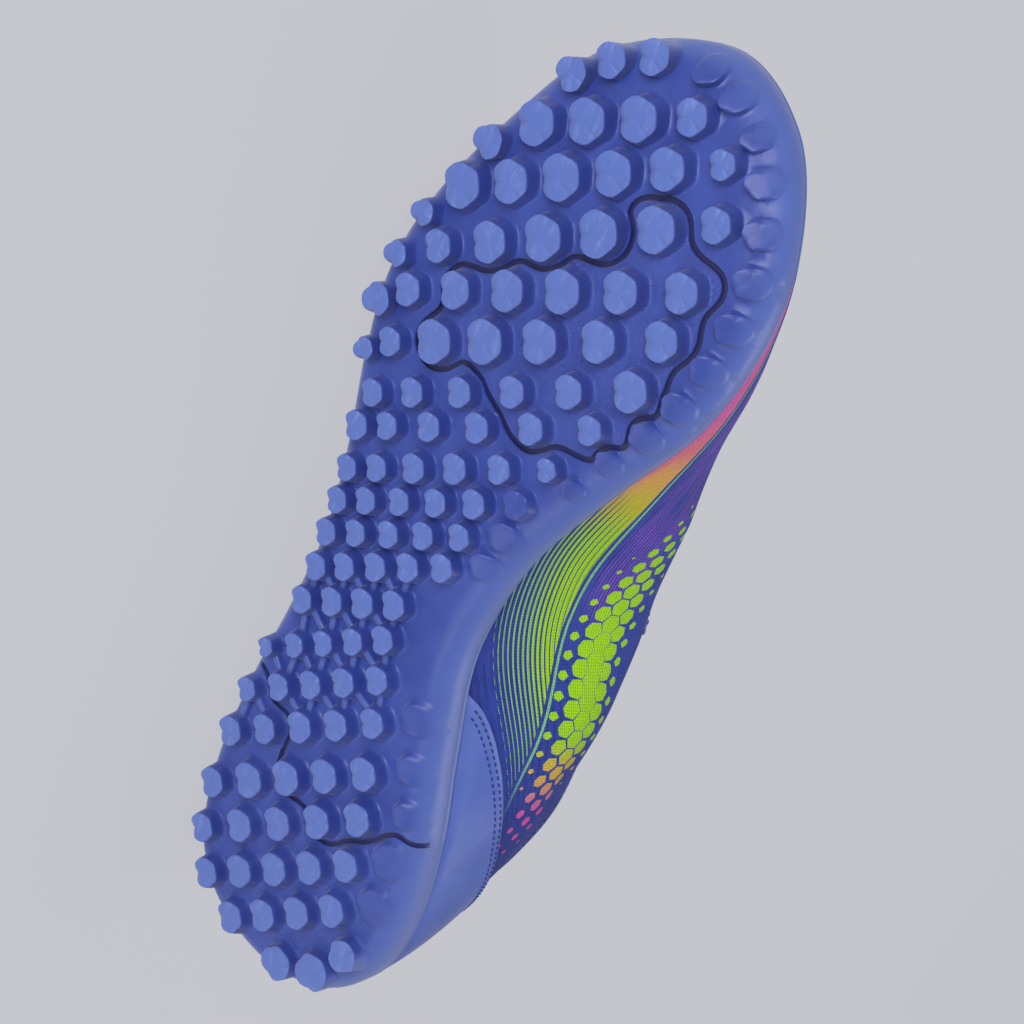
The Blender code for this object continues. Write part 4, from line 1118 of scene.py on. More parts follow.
def build_upper(materials):
    """The knitted shell: creased, of even wall, open at collar, throat and beneath, with lace holes."""
    verts, shares, made, faces, sorts = [], [], {}, [], []
    last = UPPER_STATIONS
    vamp_index = math.ceil(VAMP_STATION * last)

    def vertex(side, k, row, layer):
        if k in (0, last) or (row == UPPER_ROWS and k >= vamp_index):
            side = 1
        key = (side, k, row, layer)
        if key not in made:
            station = k / last
            depth = UPPER_WALL * layer
            if row <= 0:
                p = inset_point(side, station, LIP_WIDTH + CLEARANCE + depth)
                y = edge_point(side, station).y
                z = footbed(y) + CLEARANCE if row < 0 else lip_top(y) + CLEARANCE * 2
                place = (p.x, p.y, z)
            else:
                place = tuple(cloth_point(side, station, row / UPPER_ROWS, depth))
            made[key] = len(verts)
            verts.append(place)
            shares.append(max(row, 0) / UPPER_ROWS)
        return made[key]

    def quad(sort, *corners):
        unique = list(dict.fromkeys(corners))
        if len(unique) > 2:
            faces.append(unique)
            sorts.append(sort)

    for side in (-1, 1):
        for k in range(last):
            for row in range(-1, UPPER_ROWS):
                for layer in (0, 1):
                    quad(layer, vertex(side, k, row, layer), vertex(side, k + 1, row, layer),
                         vertex(side, k + 1, row + 1, layer), vertex(side, k, row + 1, layer))
            ends = (-1, UPPER_ROWS) if k < vamp_index else (-1,)
            for row in ends:
                quad(1, vertex(side, k, row, 0), vertex(side, k + 1, row, 0),
                     vertex(side, k + 1, row, 1), vertex(side, k, row, 1))
    fields = print_fields(np.array(verts), np.array(shares))
    obj = new_piece("knit_upper", verts, faces, "upper", materials, fields, face_materials=sorts)
    cut_holes(obj, (-1, 1))
    return obj


HOLE_SIDES = 28
HOLE_DEPTH = 0.009


def cut_holes(obj, sides):
    """Cuts the lace holes through a piece."""
    bm = bmesh.new()
    for side in sides:
        for k in range(EYELET_PAIRS):
            station = eyelet_station(k)
            turn = upper_normal(side, station, EYELET_SHARE).to_track_quat("Z", "Y").to_matrix().to_4x4()
            place = POSE @ Matrix.Translation(upper_point(side, station, EYELET_SHARE)) @ turn
            bmesh.ops.create_cone(bm, cap_ends=True, segments=HOLE_SIDES, radius1=EYELET_RADIUS,
                                  radius2=EYELET_RADIUS, depth=HOLE_DEPTH, matrix=place)
    mesh = bpy.data.meshes.new("hole_cutter")
    bm.to_mesh(mesh)
    bm.free()
    cutter = linked("hole_cutter", mesh)
    cut = obj.modifiers.new("holes", "BOOLEAN")
    cut.operation = "DIFFERENCE"
    cut.solver = "EXACT"
    cut.object = cutter
    graph = bpy.context.evaluated_depsgraph_get()
    whole = bpy.data.meshes.new_from_object(obj.evaluated_get(graph), depsgraph=graph)
    obj.modifiers.clear()
    old = obj.data
    obj.data = whole
    bpy.data.meshes.remove(old)
    bpy.data.objects.remove(cutter)


def panel(name, grid, thickness, node, material):
    """A closed panel just over the upper, its rim rounded down. grid: rows of (side, station, share)."""
    rows, columns = len(grid), len(grid[0])
    verts, rim_highlight = [], []
    for layer in (0, 1):
        for r, line in enumerate(grid):
            for c, at in enumerate(line):
                rim = min(r, c, rows - 1 - r, columns - 1 - c)
                share = PANEL_ROUNDING[rim] if rim < len(PANEL_ROUNDING) else 1.0
                verts.append(tuple(cloth_point(*at, -PANEL_GAP - thickness * share * layer)))
                # Painted highlight: how much paler each point is painted, most at the rounded rim
                rim_highlight.append(1 - min(rim, 4) / 4)
    faces = sheet_faces(rows, columns)
    return new_piece(name, verts, faces, node, [material], {"rim_highlight": rim_highlight}, soft=50)


# How much of a panel's thickness is there at its rim and in the rows next to it
PANEL_ROUNDING = (0.25, 0.75, 0.95)
COUNTER_ROWS = 40
COUNTER_COLUMNS = 56
EYESTAY_ROWS = 16
EYESTAY_COLUMNS = 96


def build_heel_counter(material):
    """The smooth heel panel: both sides in one piece round the back."""
    grid = []
    for row in range(COUNTER_ROWS + 1):
        share = COUNTER_FRONT[-1][1] * row / COUNTER_ROWS
        reach = read_table(COUNTER_FRONT, share, 2)
        medial = [(-1, reach * k / COUNTER_COLUMNS, share) for k in range(COUNTER_COLUMNS, -1, -1)]
        lateral = [(1, reach * k / COUNTER_COLUMNS, share) for k in range(1, COUNTER_COLUMNS + 1)]
        grid.append(medial + lateral)
    return panel("heel_panel", grid, COUNTER_WALL, "heel_counter", material)


def build_eyestay(side, name, node, material):
    """The strip beside the throat, punched for the lace."""
    low = EYESTAY_TOP_SHARE - EYESTAY_WIDTH_SHARE
    reach = EYESTAY_FRONT_STATION - EYESTAY_BACK_STATION
    stations = [EYESTAY_BACK_STATION + reach * c / EYESTAY_COLUMNS for c in range(EYESTAY_COLUMNS + 1)]
    shares = [low + EYESTAY_WIDTH_SHARE * r / EYESTAY_ROWS for r in range(EYESTAY_ROWS + 1)]
    grid = [[(side, station, share) for station in stations] for share in shares]
    obj = panel(name, grid, EYESTAY_THICKNESS, node, material)
    cut_holes(obj, (side,))
    return obj


def tube_faces(loops, closed):
    """Faces between numbered loops of points, with caps unless the loops close on themselves."""
    faces = []
    for low, high in list(zip(loops, loops[1:])) + ([(loops[-1], loops[0])] if closed else []):
        faces += ring_faces(low, high)
    if not closed:
        faces += [tuple(loops[0]), tuple(reversed(loops[-1]))]
    return faces


class Strands:
    """Gathers tubes and strips into one piece."""

    def __init__(self):
        self.verts, self.faces, self.run, self.turn = [], [], [], []

    def add(self, frames, ring, closed=False, taper=None):
        """frames: (centre, across, up); ring: offsets across and up; taper: a scale for each frame."""
        loops, run = [], 0.0
        for k, (centre, across, up) in enumerate(frames):
            if k:
                run += (centre - frames[k - 1][0]).length
            scale = taper[k] if taper else 1.0
            loop = []
            for a, b in ring:
                loop.append(len(self.verts))
                self.verts.append(tuple(centre + across * (a * scale) + up * (b * scale)))
                self.run.append(run / MM)
                self.turn.append(a / MM)
            loops.append(loop)
        self.faces += tube_faces(loops, closed)

    def piece(self, name, node, material):
        fields = {"run": self.run, "turn": self.turn}
        return new_piece(name, self.verts, self.faces, node, [material], fields)


def frames_along(points, ups):
    """(centre, across, up) at each point of a path."""
    frames = []
    for k, (centre, up) in enumerate(zip(points, ups)):
        along = (points[min(k + 1, len(points) - 1)] - points[max(k - 1, 0)]).normalized()
        across = along.cross(up).normalized()
        frames.append((centre, across, across.cross(along).normalized()))
    return frames


def round_ring(radius, sides):
    return [(radius * math.cos(2 * math.pi * k / sides), radius * math.sin(2 * math.pi * k / sides))
            for k in range(sides)]


def flat_ring(half, thick, sides=12, square=2.8):
    """A rounded flat section."""
    ring = []
    for k in range(sides):
        turn = 2 * math.pi * (k + 0.5) / sides
        c, s = math.cos(turn), math.sin(turn)
        wide, high = abs(c) ** (2 / square), abs(s) ** (2 / square)
        ring.append((math.copysign(wide, c) * half, math.copysign(high, s) * thick))
    return ring


def eased(points, steps):
    """A smooth run through the points, with this many steps between each two."""
    return curve_through([points[0]] + list(points) + [points[-1]], steps) + [points[-1]]


# Stitching: from thread to thread, length and radius of a thread
STITCH_SIZES = {
    "counter_stitching": (0.0022, 0.0013, 0.00027),
    "eyestay_stitching": (0.0024, 0.0016, 0.00028),
    "collar_stitching": (0.0030, 0.0021, 0.00036),
}

# A thread's points: share of its length, height over the cloth and thickness as shares of its radius
THREAD = ((0, -0.7, 0.45), (0.12, -0.1, 0.9), (0.5, 0.25, 1), (0.88, -0.1, 0.9), (1, -0.7, 0.45))

COUNTER_STITCH_INSETS = (0.0019, 0.0042)
COUNTER_STITCH_TOP = 0.90
COLLAR_STITCH_SHARE = 0.935


def stitches(name, paths, material):
    """Rows of short sunk threads. paths: lists of points and outward directions."""
    pitch, length, radius = STITCH_SIZES[name]
    strands = Strands()
    for points, ups in paths:
        run = distances(points)

        def at(distance):
            k = max(0, min(len(run) - 2, int(np.searchsorted(run, distance)) - 1))
            share = (distance - run[k]) / max(run[k + 1] - run[k], 1e-9)
            return points[k].lerp(points[k + 1], share), ups[k].lerp(ups[k + 1], share).normalized()

        start = pitch / 2
        while start + length < run[-1]:
            spots = [at(start + length * share) for share, _, _ in THREAD]
            centres = [p + up * radius * rise for (p, up), (_, rise, _) in zip(spots, THREAD)]
            frames = frames_along(centres, [up for _, up in spots])
            strands.add(frames, round_ring(radius, 6), taper=[scale for _, _, scale in THREAD])
            start += pitch
    return strands.piece(name, None, material)


def surface_path(marks, lift, steps=24):
    """Points and outward directions over the upper, through marks of (side, station, share)."""
    points, ups = [], []
    for (side, s0, u0), (_, s1, u1) in zip(marks, marks[1:]):
        for step in range(steps):
            station, share = s0 + (s1 - s0) * step / steps, u0 + (u1 - u0) * step / steps
            points.append(cloth_point(side, station, share, -lift))
            ups.append(upper_normal(side, station, share))
    return points, ups


def build_counter_stitches(material):
    """Two rows of stitching inside the heel panel's front edge, on both sides."""
    paths = []
    for side in (-1, 1):
        for inset in COUNTER_STITCH_INSETS:
            marks = []
            for k in range(2, 34):
                share = COUNTER_STITCH_TOP * k / 33
                near = (share, share - 0.01, share + 0.01)
                reach, below, above = (read_table(COUNTER_FRONT, at, 2) for at in near)
                lean = math.atan((above - below) / 0.02 * SIDE_REACH / WALL_REACH)
                marks.append((side, reach - inset * math.cos(lean) / SIDE_REACH,
                              share + inset * math.sin(lean) / WALL_REACH))
            paths.append(surface_path(marks, PANEL_GAP + COUNTER_WALL, 4))
    return stitches("counter_stitching", paths, material)


def build_eyestay_stitches(material):
    """One row of stitching inside each eyestay's outer edge."""
    paths = []
    share = EYESTAY_TOP_SHARE - EYESTAY_WIDTH_SHARE + 0.022
    reach = EYESTAY_FRONT_STATION - EYESTAY_BACK_STATION - 0.012
    for side in (-1, 1):
        marks = [(side, EYESTAY_BACK_STATION + 0.006 + reach * k / 20, share) for k in range(21)]
        paths.append(surface_path(marks, PANEL_GAP + EYESTAY_THICKNESS, 8))
    return stitches("eyestay_stitching", paths, material)


def build_collar_binding(material):
    """The rolled edge on the collar's rim, slightly uneven where it is sewn down."""
    count = 150
    order = [(1, COLLAR_STATION * k / count) for k in range(count, -1, -1)]
    order += [(-1, COLLAR_STATION * k / count) for k in range(1, count + 1)]
    strands = Strands()
    frames, taper = [], []
    for index, (side, station) in enumerate(order):
        rim = skin_point(side, station, 1.0, UPPER_WALL / 2)
        wall = (upper_point(side, station, 1.0) - upper_point(side, station, 0.94)).normalized()
        across = upper_normal(side, station, 1.0)
        seat = BINDING_RADIUS * math.cos(math.pi / 6) + 2 * CLEARANCE
        frames.append((rim + wall * seat, across, wall))
        ends = min(index, len(order) - 1 - index)
        taper.append((0.55, 0.85, 1.0)[min(ends, 2)] * (1 + 0.018 * math.sin(index * 2.1)))
    strands.add(frames, round_ring(BINDING_RADIUS, 14), taper=taper)
    return strands.piece("collar_roll", "collar_binding", material)


def build_collar_stitches(material):
    """The topstitch under the collar's rolled edge."""
    paths = []
    for side in (-1, 1):
        marks = [(side, COLLAR_STATION * (0.02 + 0.97 * k / 30), COLLAR_STITCH_SHARE) for k in range(31)]
        paths.append(surface_path(marks, 0.00005, 6))
    return stitches("collar_stitching", paths, material)


# The tongue's points: shares of each side, the bridge between them, rows under the throat and rows of
# its free end; how its rim is pinched, as shares of its thickness; and the depth of its channels
TONGUE_SIDE_STEPS = 8
TONGUE_ROWS = 60
TONGUE_END_ROWS = 12
TONGUE_PINCH = (0.42, 0.22, 0.10, 0.03)
TONGUE_CHANNEL = 0.00025
TONGUE_END_ROUNDING = 0.16


def tongue_lines():
    """Lines of points across the tongue's outer face, from the vamp up to its free end."""
    gap = UPPER_WALL + TONGUE_DEPTH
    steps = TONGUE_SIDE_STEPS
    shares = [TONGUE_OVERLAP + (1 - TONGUE_OVERLAP) * k / steps for k in range(steps + 1)]
    lines = []
    for r in range(TONGUE_ROWS + 1):
        station = TONGUE_LAST_STATION + (TONGUE_FIRST_STATION - TONGUE_LAST_STATION) * r / TONGUE_ROWS
        medial = [skin_point(-1, station, share, gap) for share in shares]
        lateral = [skin_point(1, station, share, gap) for share in reversed(shares)]
        crown = (medial[-1] - lateral[0]).length * TONGUE_CROWN_SHARE
        bridge = []
        for k in range(1, steps):
            share = k / steps
            lift = Vector((0, 0, crown * 4 * share * (1 - share)))
            bridge.append(medial[-1].lerp(lateral[0], share) + lift)
        lines.append(medial + bridge + lateral)
    last = lines[-1]
    middle = len(last) // 2
    slope = (last[middle] - lines[-12][middle]).normalized()
    for step in [k / TONGUE_END_ROWS for k in range(1, TONGUE_END_ROWS + 1)]:
        narrow = 1 - TONGUE_NARROWING * step
        line = []
        for c, p in enumerate(last):
            off = abs(c - middle) / middle
            rise = TONGUE_RISE * step * (1 - TONGUE_END_ROUNDING * off ** 3)
            line.append(last[middle] + (p - last[middle]) * narrow + slope * rise)
        lines.append(line)
    return lines


def build_tongue(material):
    """A padded sheet under the throat, with soft channels across it."""
    lines = tongue_lines()
    rows, columns = len(lines), len(lines[0])
    verts = []
    for layer in (0, 1):
        for r, line in enumerate(lines):
            for c, p in enumerate(line):
                ahead = lines[min(r + 1, rows - 1)][c] - lines[max(r - 1, 0)][c]
                across = line[min(c + 1, columns - 1)] - line[max(c - 1, 0)]
                normal = ahead.cross(across).normalized()
                if normal.z < 0:
                    normal = -normal
                rim = min(r, c, rows - 1 - r, columns - 1 - c)
                pinch = TONGUE_THICKNESS * TONGUE_PINCH[rim] if rim < len(TONGUE_PINCH) else 0.0
                channel = TONGUE_CHANNEL * (0.5 + 0.5 * math.cos(r * math.pi / 4)) ** 6
                depth = TONGUE_THICKNESS - pinch if layer else pinch + channel
                verts.append(tuple(p - normal * depth))
    faces = sheet_faces(rows, columns)
    obj = new_piece("padded_tongue", verts, faces, "tongue", [material])
    return obj


INSOLE_STATIONS = 90


def build_insole(material):
    """The footbed inside, with a rounded edge."""
    inset = LIP_WIDTH + CLEARANCE * 2 + UPPER_WALL + CLEARANCE
    stations = rim_stations(INSOLE_STATIONS)
    top = CLEARANCE + INSOLE_THICKNESS
    levels = ((0, CLEARANCE), (0, top - 0.0009), (0.0003, top - 0.0003), (0.0010, top))
    verts, loops, faces = [], [], []
    for extra, rise in levels:
        loop = []
        for side, station in stations:
            p = inset_point(side, station, inset + extra)
            loop.append(len(verts))
            verts.append((p.x, p.y, footbed(edge_point(side, station).y) + rise))
        loops.append(loop)
    for low, high in zip(loops, loops[1:]):
        faces += ring_faces(low, high)
    faces += cap_faces(loops[0], INSOLE_STATIONS) + cap_faces(loops[-1], INSOLE_STATIONS)
    return new_piece("sock_liner", verts, faces, "insole", [material], soft=50)


# How deep a lace's end is tucked under the eyestay
LACE_TUCK = 0.0012


def build_laces(material):
    """Bars over the throat and runs up its sides, each end tucked down its eyelet."""
    lift = 3 * CLEARANCE + EYESTAY_THICKNESS + LACE_THICKNESS / 2
    strands = Strands()
    ring = flat_ring(LACE_WIDTH / 2, LACE_THICKNESS / 2)

    def on_stay(side, station, share, up=lift):
        return skin_point(side, station, share, -up), upper_normal(side, station, share)

    def lay(route):
        frames = frames_along(eased([p for p, _ in route], 6), eased([up for _, up in route], 6))
        strands.add(frames, ring)

    side = -1
    for k in range(EYELET_PAIRS):
        station = eyelet_station(k)
        ends = []
        for s in (side, -side):
            down = on_stay(s, station, EYELET_SHARE - 0.012, -LACE_TUCK)
            rim = on_stay(s, station, EYELET_SHARE + 0.006, lift * 0.62)
            ends.append([down, rim, on_stay(s, station, 0.940), on_stay(s, station, 0.975)])
        near, far = ends
        middle = (near[-1][0] + far[-1][0]) / 2 + Vector((0, 0, LACE_CROWN))
        lay(near + [(middle, (near[-1][1] + far[-1][1]).normalized())] + far[::-1])
        side = -side
        if k < EYELET_PAIRS - 1:
            after = eyelet_station(k + 1)
            low = EYELET_SHARE - 0.030
            lay([
                on_stay(side, station, EYELET_SHARE - 0.004, -LACE_TUCK),
                on_stay(side, station + (after - station) * 0.16, low + 0.012, lift * 0.8),
                on_stay(side, (station + after) / 2, low),
                on_stay(side, after - (after - station) * 0.16, low + 0.012, lift * 0.8),
                on_stay(side, after, EYELET_SHARE - 0.004, -LACE_TUCK),
            ])
    return strands.piece("shoe_lace", "laces", material)


# The lace holes' rings: how far outside the hole, and how thick
RING_SEAT = 0.0005
RING_RADIUS = 0.00042


def build_eyelet_rings(material):
    """A thin welded ring round each lace hole."""
    strands = Strands()
    for side in (-1, 1):
        for k in range(EYELET_PAIRS):
            station = eyelet_station(k)
            up = upper_normal(side, station, EYELET_SHARE)
            centre = skin_point(side, station, EYELET_SHARE, -PANEL_GAP - EYESTAY_THICKNESS + 0.00005)
            ahead = Vector((0, 1, 0))
            ahead = (ahead - up * ahead.dot(up)).normalized()
            other = up.cross(ahead)
            frames = []
            for step in range(HOLE_SIDES):
                turn = 2 * math.pi * step / HOLE_SIDES
                out = ahead * math.cos(turn) + other * math.sin(turn)
                frames.append((centre + out * (EYELET_RADIUS + RING_SEAT), out, up))
            strands.add(frames, round_ring(RING_RADIUS, 8), closed=True)
    return strands.piece("eyelet_rings", None, material)


def operator(operation):
    """A method that adds one arithmetic node."""
    return lambda value, *others: value.made(operation, *others)


class Value:
    """A number in a material's node tree; ordinary arithmetic on it adds nodes."""

    def __init__(self, tree, socket):
        self.tree, self.socket = tree, socket

    def made(self, operation, *others):
        node = self.tree.nodes.new("ShaderNodeMath")
        node.operation = operation
        for slot, value in zip(node.inputs, (self,) + others):
            self.feed(slot, value)
        return Value(self.tree, node.outputs[0])

    def feed(self, slot, value):
        """Sets or links a node's input."""
        if isinstance(value, Value):
            self.tree.links.new(value.socket, slot)
        else:
            slot.default_value = value

    __add__ = __radd__ = operator("ADD")
    __mul__ = __rmul__ = operator("MULTIPLY")
    __sub__ = operator("SUBTRACT")
    __truediv__ = operator("DIVIDE")
    abs = operator("ABSOLUTE")
    fraction = operator("FRACT")
    lowest = operator("MINIMUM")
    highest = operator("MAXIMUM")

    def __rsub__(self, other):
        return self * -1 + other

    def wave(self):
        """0 in the middle of each whole step, 1 where one ends and the next starts."""
        return (self.fraction() - 0.5).abs() * 2

    def step(self, low, high):
        """0 below low, 1 above high, soft between; low may be above high."""
        node = self.tree.nodes.new("ShaderNodeMapRange")
        node.interpolation_type = "SMOOTHSTEP"
        for name, value in (("Value", self), ("From Min", low), ("From Max", high)):
            self.feed(node.inputs[name], value)
        return Value(self.tree, node.outputs["Result"])


class Paint:
    """A material in the making."""

    def __init__(self, name, roughness, sheen=0.0, specular=0.5, coat=0.0):
        self.material = bpy.data.materials.new(name)
        self.material.use_nodes = True
        self.tree = self.material.node_tree
        self.shader = self.tree.nodes["Principled BSDF"]
        self.shader.inputs["Roughness"].default_value = roughness
        self.shader.inputs["Specular IOR Level"].default_value = specular
        self.shader.inputs["Sheen Weight"].default_value = sheen
        self.shader.inputs["Coat Weight"].default_value = coat
        place = self.tree.nodes.new("ShaderNodeAttribute")
        place.attribute_name = "shoe"
        scale = self.tree.nodes.new("ShaderNodeVectorMath")
        scale.operation = "SCALE"
        scale.inputs["Scale"].default_value = 1000
        self.tree.links.new(place.outputs["Vector"], scale.inputs[0])
        self.place = scale.outputs["Vector"]
        split = self.tree.nodes.new("ShaderNodeSeparateXYZ")
        self.tree.links.new(self.place, split.inputs[0])
        self.x, self.y, self.z = (Value(self.tree, out) for out in split.outputs)
        self.normal = None

    def field(self, name):
        node = self.tree.nodes.new("ShaderNodeAttribute")
        node.attribute_name = name
        return Value(self.tree, node.outputs["Fac"])

    def noise(self, size, detail=3.0, roughness=0.55, stretch=(1, 1, 1)):
        """Noise from 0 to 1 whose lumps are about this many millimetres."""
        vector = self.place
        if stretch != (1, 1, 1):
            node = self.tree.nodes.new("ShaderNodeVectorMath")
            node.operation = "MULTIPLY"
            node.inputs[1].default_value = stretch
            self.tree.links.new(vector, node.inputs[0])
            vector = node.outputs["Vector"]
        node = self.tree.nodes.new("ShaderNodeTexNoise")
        node.inputs["Scale"].default_value = 1 / size
        node.inputs["Detail"].default_value = detail
        node.inputs["Roughness"].default_value = roughness
        self.tree.links.new(vector, node.inputs["Vector"])
        return Value(self.tree, node.outputs["Fac"])

    def mix(self, share, first, second):
        """first where share is 0, second where it is 1: colours as nodes or as sRGB parts, 0 to 255."""
        node = self.tree.nodes.new("ShaderNodeMix")
        node.data_type = "RGBA"
        node.clamp_factor = True
        sockets = [s for s in node.inputs if s.type == "RGBA"]
        for slot, value in zip(sockets, (first, second)):
            if isinstance(value, tuple):
                slot.default_value = tuple(linear(part) for part in value) + (1.0,)
            else:
                self.tree.links.new(value, slot)
        self.tree.links.new(share.socket, node.inputs["Factor"])
        return next(s for s in node.outputs if s.type == "RGBA")

    def layers(self, body, *coats):
        """Colours laid one over the other. coats: (share, colour)."""
        for share, colour in coats:
            body = self.mix(share, body, colour)
        return body

    def bump(self, height, distance):
        """Relief of this many metres for a height of 1."""
        node = self.tree.nodes.new("ShaderNodeBump")
        node.inputs["Distance"].default_value = distance
        node.inputs["Strength"].default_value = 1.0
        self.tree.links.new(height.socket, node.inputs["Height"])
        if self.normal is not None:
            self.tree.links.new(self.normal, node.inputs["Normal"])
        self.normal = node.outputs["Normal"]

    def done(self, colour, roughness=None):
        self.tree.links.new(colour, self.shader.inputs["Base Color"])
        if roughness is not None:
            self.tree.links.new(roughness.socket, self.shader.inputs["Roughness"])
        if self.normal is not None:
            self.tree.links.new(self.normal, self.shader.inputs["Normal"])
        return self.material


def linear(part):
    part = part / 255
    return part / 12.92 if part <= 0.04045 else ((part + 0.055) / 1.055) ** 2.4


def rubber_material():
    """Moulded blue rubber: satin, finely grained inside the grooves, with worn patches on the tips. Painted
    light on it: the tips paler, a painted highlight; a paler band along the rolled rim, a painted sheen;
    painted shade on the studs' walls and in the grooves.
    """
    paint = Paint("moulded_rubber", 0.42, specular=0.45, sheen=0.18)
    tip, grain = paint.field("tip"), paint.field("grain")
    cloud = paint.noise(14, 3)
    worn = tip.step(0.92, 1.0) * paint.noise(2.2, 5, 0.65, (1, 0.35, 1)).step(0.52, 0.72) * 0.30
    speck = grain * paint.noise(0.5, 2).step(0.50, 0.72) * 0.40 * (1 - tip.step(0.1, 0.4))
    # 1 inside the groove, which is painted dark: painted shade
    line = paint.field("groove").step(0.86, 0.62)
    body = paint.layers(
        paint.mix(cloud.step(0.3, 0.7), (42, 61, 140), (51, 71, 151)),
        # Painted shade on the studs' walls
        (paint.field("wall") * 0.46, (32, 47, 126)),
        # Painted highlight: the tips paler where they face the light
        (tip.step(0.86, 1.0) * 0.80, (88, 111, 179)),
        # Painted sheen: paler along the rolled rim
        (paint.field("rim").step(6.5, 0.0) * 0.62, (90, 111, 176)),
        (worn, (128, 145, 200)),
        (speck, (84, 102, 178)),
        # Painted shade in the groove
        (line, (18, 24, 82)),
    )
    paint.bump(paint.noise(0.35, 2) * (0.35 + grain * 0.9) * (1 - line), 0.00009)
    paint.bump(paint.noise(7, 2), 0.00022)
    return paint.done(body, 0.36 + cloud * 0.10 + grain * 0.10 + worn * 0.3)


def hexagon(u, v):
    """Distance from the middle of a hexagonal cell, 0.5 at its sides, for cells 1 apart."""
    tall = math.sqrt(3)
    gaps = []
    for shift in (0.0, 0.5):
        x = ((u + shift).fraction() - 0.5).abs()
        y = (((v / tall + shift).fraction() - 0.5) * tall).abs()
        gaps.append(x.highest(x * 0.5 + y * (tall / 2)))
    return gaps[0].lowest(gaps[1])


def knit_material():
    """Blue engineered knit with a printed fan of fine lines and a dissolving field of hexagons."""
    paint = Paint("printed_knit", 0.66, sheen=0.03, specular=0.25)
    names = ("fan", "duty", "hue", "rib", "pale", "violet", "under", "solid", "motif_fill", "motif_hue")
    fan, duty, hue, rib, pale, violet, under, solid, fill, shade = (paint.field(name) for name in names)
    ridge = rib.wave().step(0.15, 0.9)
    loops = (paint.y * 1.15 + rib.fraction() * 0.5).wave()
    yarn = paint.noise(0.6, 3)
    cord = paint.field("cord").wave().step(0.30, 0.95)
    uneven = paint.noise(7, 2, 0.5, (1, 0.25, 1)).step(0.30, 0.62)
    ground = paint.layers(
        paint.mix(paint.noise(11, 3).step(0.3, 0.7), (38, 60, 152), (48, 72, 168)),
        (cord * uneven * 0.62, (24, 34, 112)),
        (ridge * 0.30, (26, 36, 116)),
        (yarn.step(0.45, 0.75) * 0.20, (84, 102, 188)),
        (under.step(1.8, 2.6) * duty.step(0.02, 0.2) * 0.55, (32, 44, 122)),
    )

    # The fan's lines run from lime to pink, striped where warm and greener where thin
    line = (duty + solid * 0.6 - fan.wave()).step(-0.10, 0.10)
    line = line * duty.step(0.02, 0.06) * under.step(2.2, 2.5)
    inks = paint.layers(
        paint.mix(hue.step(0.0, 0.22), (163, 212, 10), (196, 190, 20)),
        (hue.step(0.18, 0.46), (226, 168, 84)),
        (hue.step(0.44, 0.66), (224, 120, 132)),
        (hue.step(0.64, 0.95), (222, 98, 170)),
        ((fan * 2.0).wave().step(0.72, 0.95) * hue.step(0.05, 0.2) * 0.55, (228, 112, 120)),
        (duty.step(0.70, 0.20) * 0.62, (96, 160, 158)),
    )

    # The hexagons grow with the field's fill and run from lime to pink too
    cell = hexagon(paint.field("motif_u"), paint.field("motif_v"))
    mark = (fill * 0.44 - cell).step(-0.015, 0.015) * fill.step(0.10, 0.16)
    marks = paint.layers(
        paint.mix(shade.step(0.10, 0.45), (160, 214, 8), (222, 176, 70)),
        (shade.step(0.45, 0.85), (222, 86, 176)),
    )
    broken = paint.noise(9, 2, 0.5, (1, 0.3, 1)).step(0.34, 0.58)
    body = paint.layers(
        paint.mix(line, ground, inks),
        ((under - 1.0).abs().step(0.50, 0.24) * pale * 0.85, (136, 208, 120)),
        ((fan * 1.6 + 0.5).wave().step(0.50, 0.78) * violet * broken * 0.9, (150, 78, 196)),
        (mark, marks),
    )
    paint.bump(1 - ridge, 0.00022)
    paint.bump(loops, 0.00010)
    paint.bump(paint.noise(0.5, 2), 0.00006)
    return paint.done(body, 0.56 + yarn * 0.16)


def cloth_material(name, dark, light, size):
    """A plain woven or brushed cloth in two close tones."""
    paint = Paint(name, 0.75, sheen=0.2, specular=0.3)
    warp = (paint.y / size).wave()
    weft = ((paint.x + paint.z) / size).wave()
    weave = warp.lowest(weft)
    body = paint.mix(paint.noise(9, 3).step(0.3, 0.7), dark, light)
    body = paint.mix(weave.step(0.0, 0.45) * 0.35, tuple(c * 0.62 for c in dark), body)
    body = paint.mix(paint.noise(0.7, 3).step(0.5, 0.8) * 0.2, body, tuple(c * 1.25 for c in light))
    paint.bump(weave, 0.00014)
    paint.bump(paint.noise(0.6, 3), 0.00008)
    return paint.done(body, 0.68 + paint.noise(3, 2) * 0.18)


def coated_material():
    """A smooth coated panel with a fine leather-like grain and a paler rim, a painted highlight on its
    rounded edge.
    """
    paint = Paint("coated_panel", 0.40, specular=0.4, coat=0.06)
    cloud = paint.noise(18, 2)
    grain = paint.noise(0.8, 4, 0.6)
    body = paint.layers(
        paint.mix(cloud.step(0.3, 0.7), (70, 91, 165), (79, 101, 175)),
        # Painted highlight on the panel's rounded rim
        (paint.field("rim_highlight").step(0.5, 1.0) * 0.35, (112, 130, 208)),
        (grain.step(0.58, 0.8) * 0.12, (58, 76, 160)),
    )
    paint.bump(grain, 0.00007)
    paint.bump(paint.noise(9, 2), 0.0002)
    return paint.done(body, 0.36 + cloud * 0.08 + grain * 0.08)


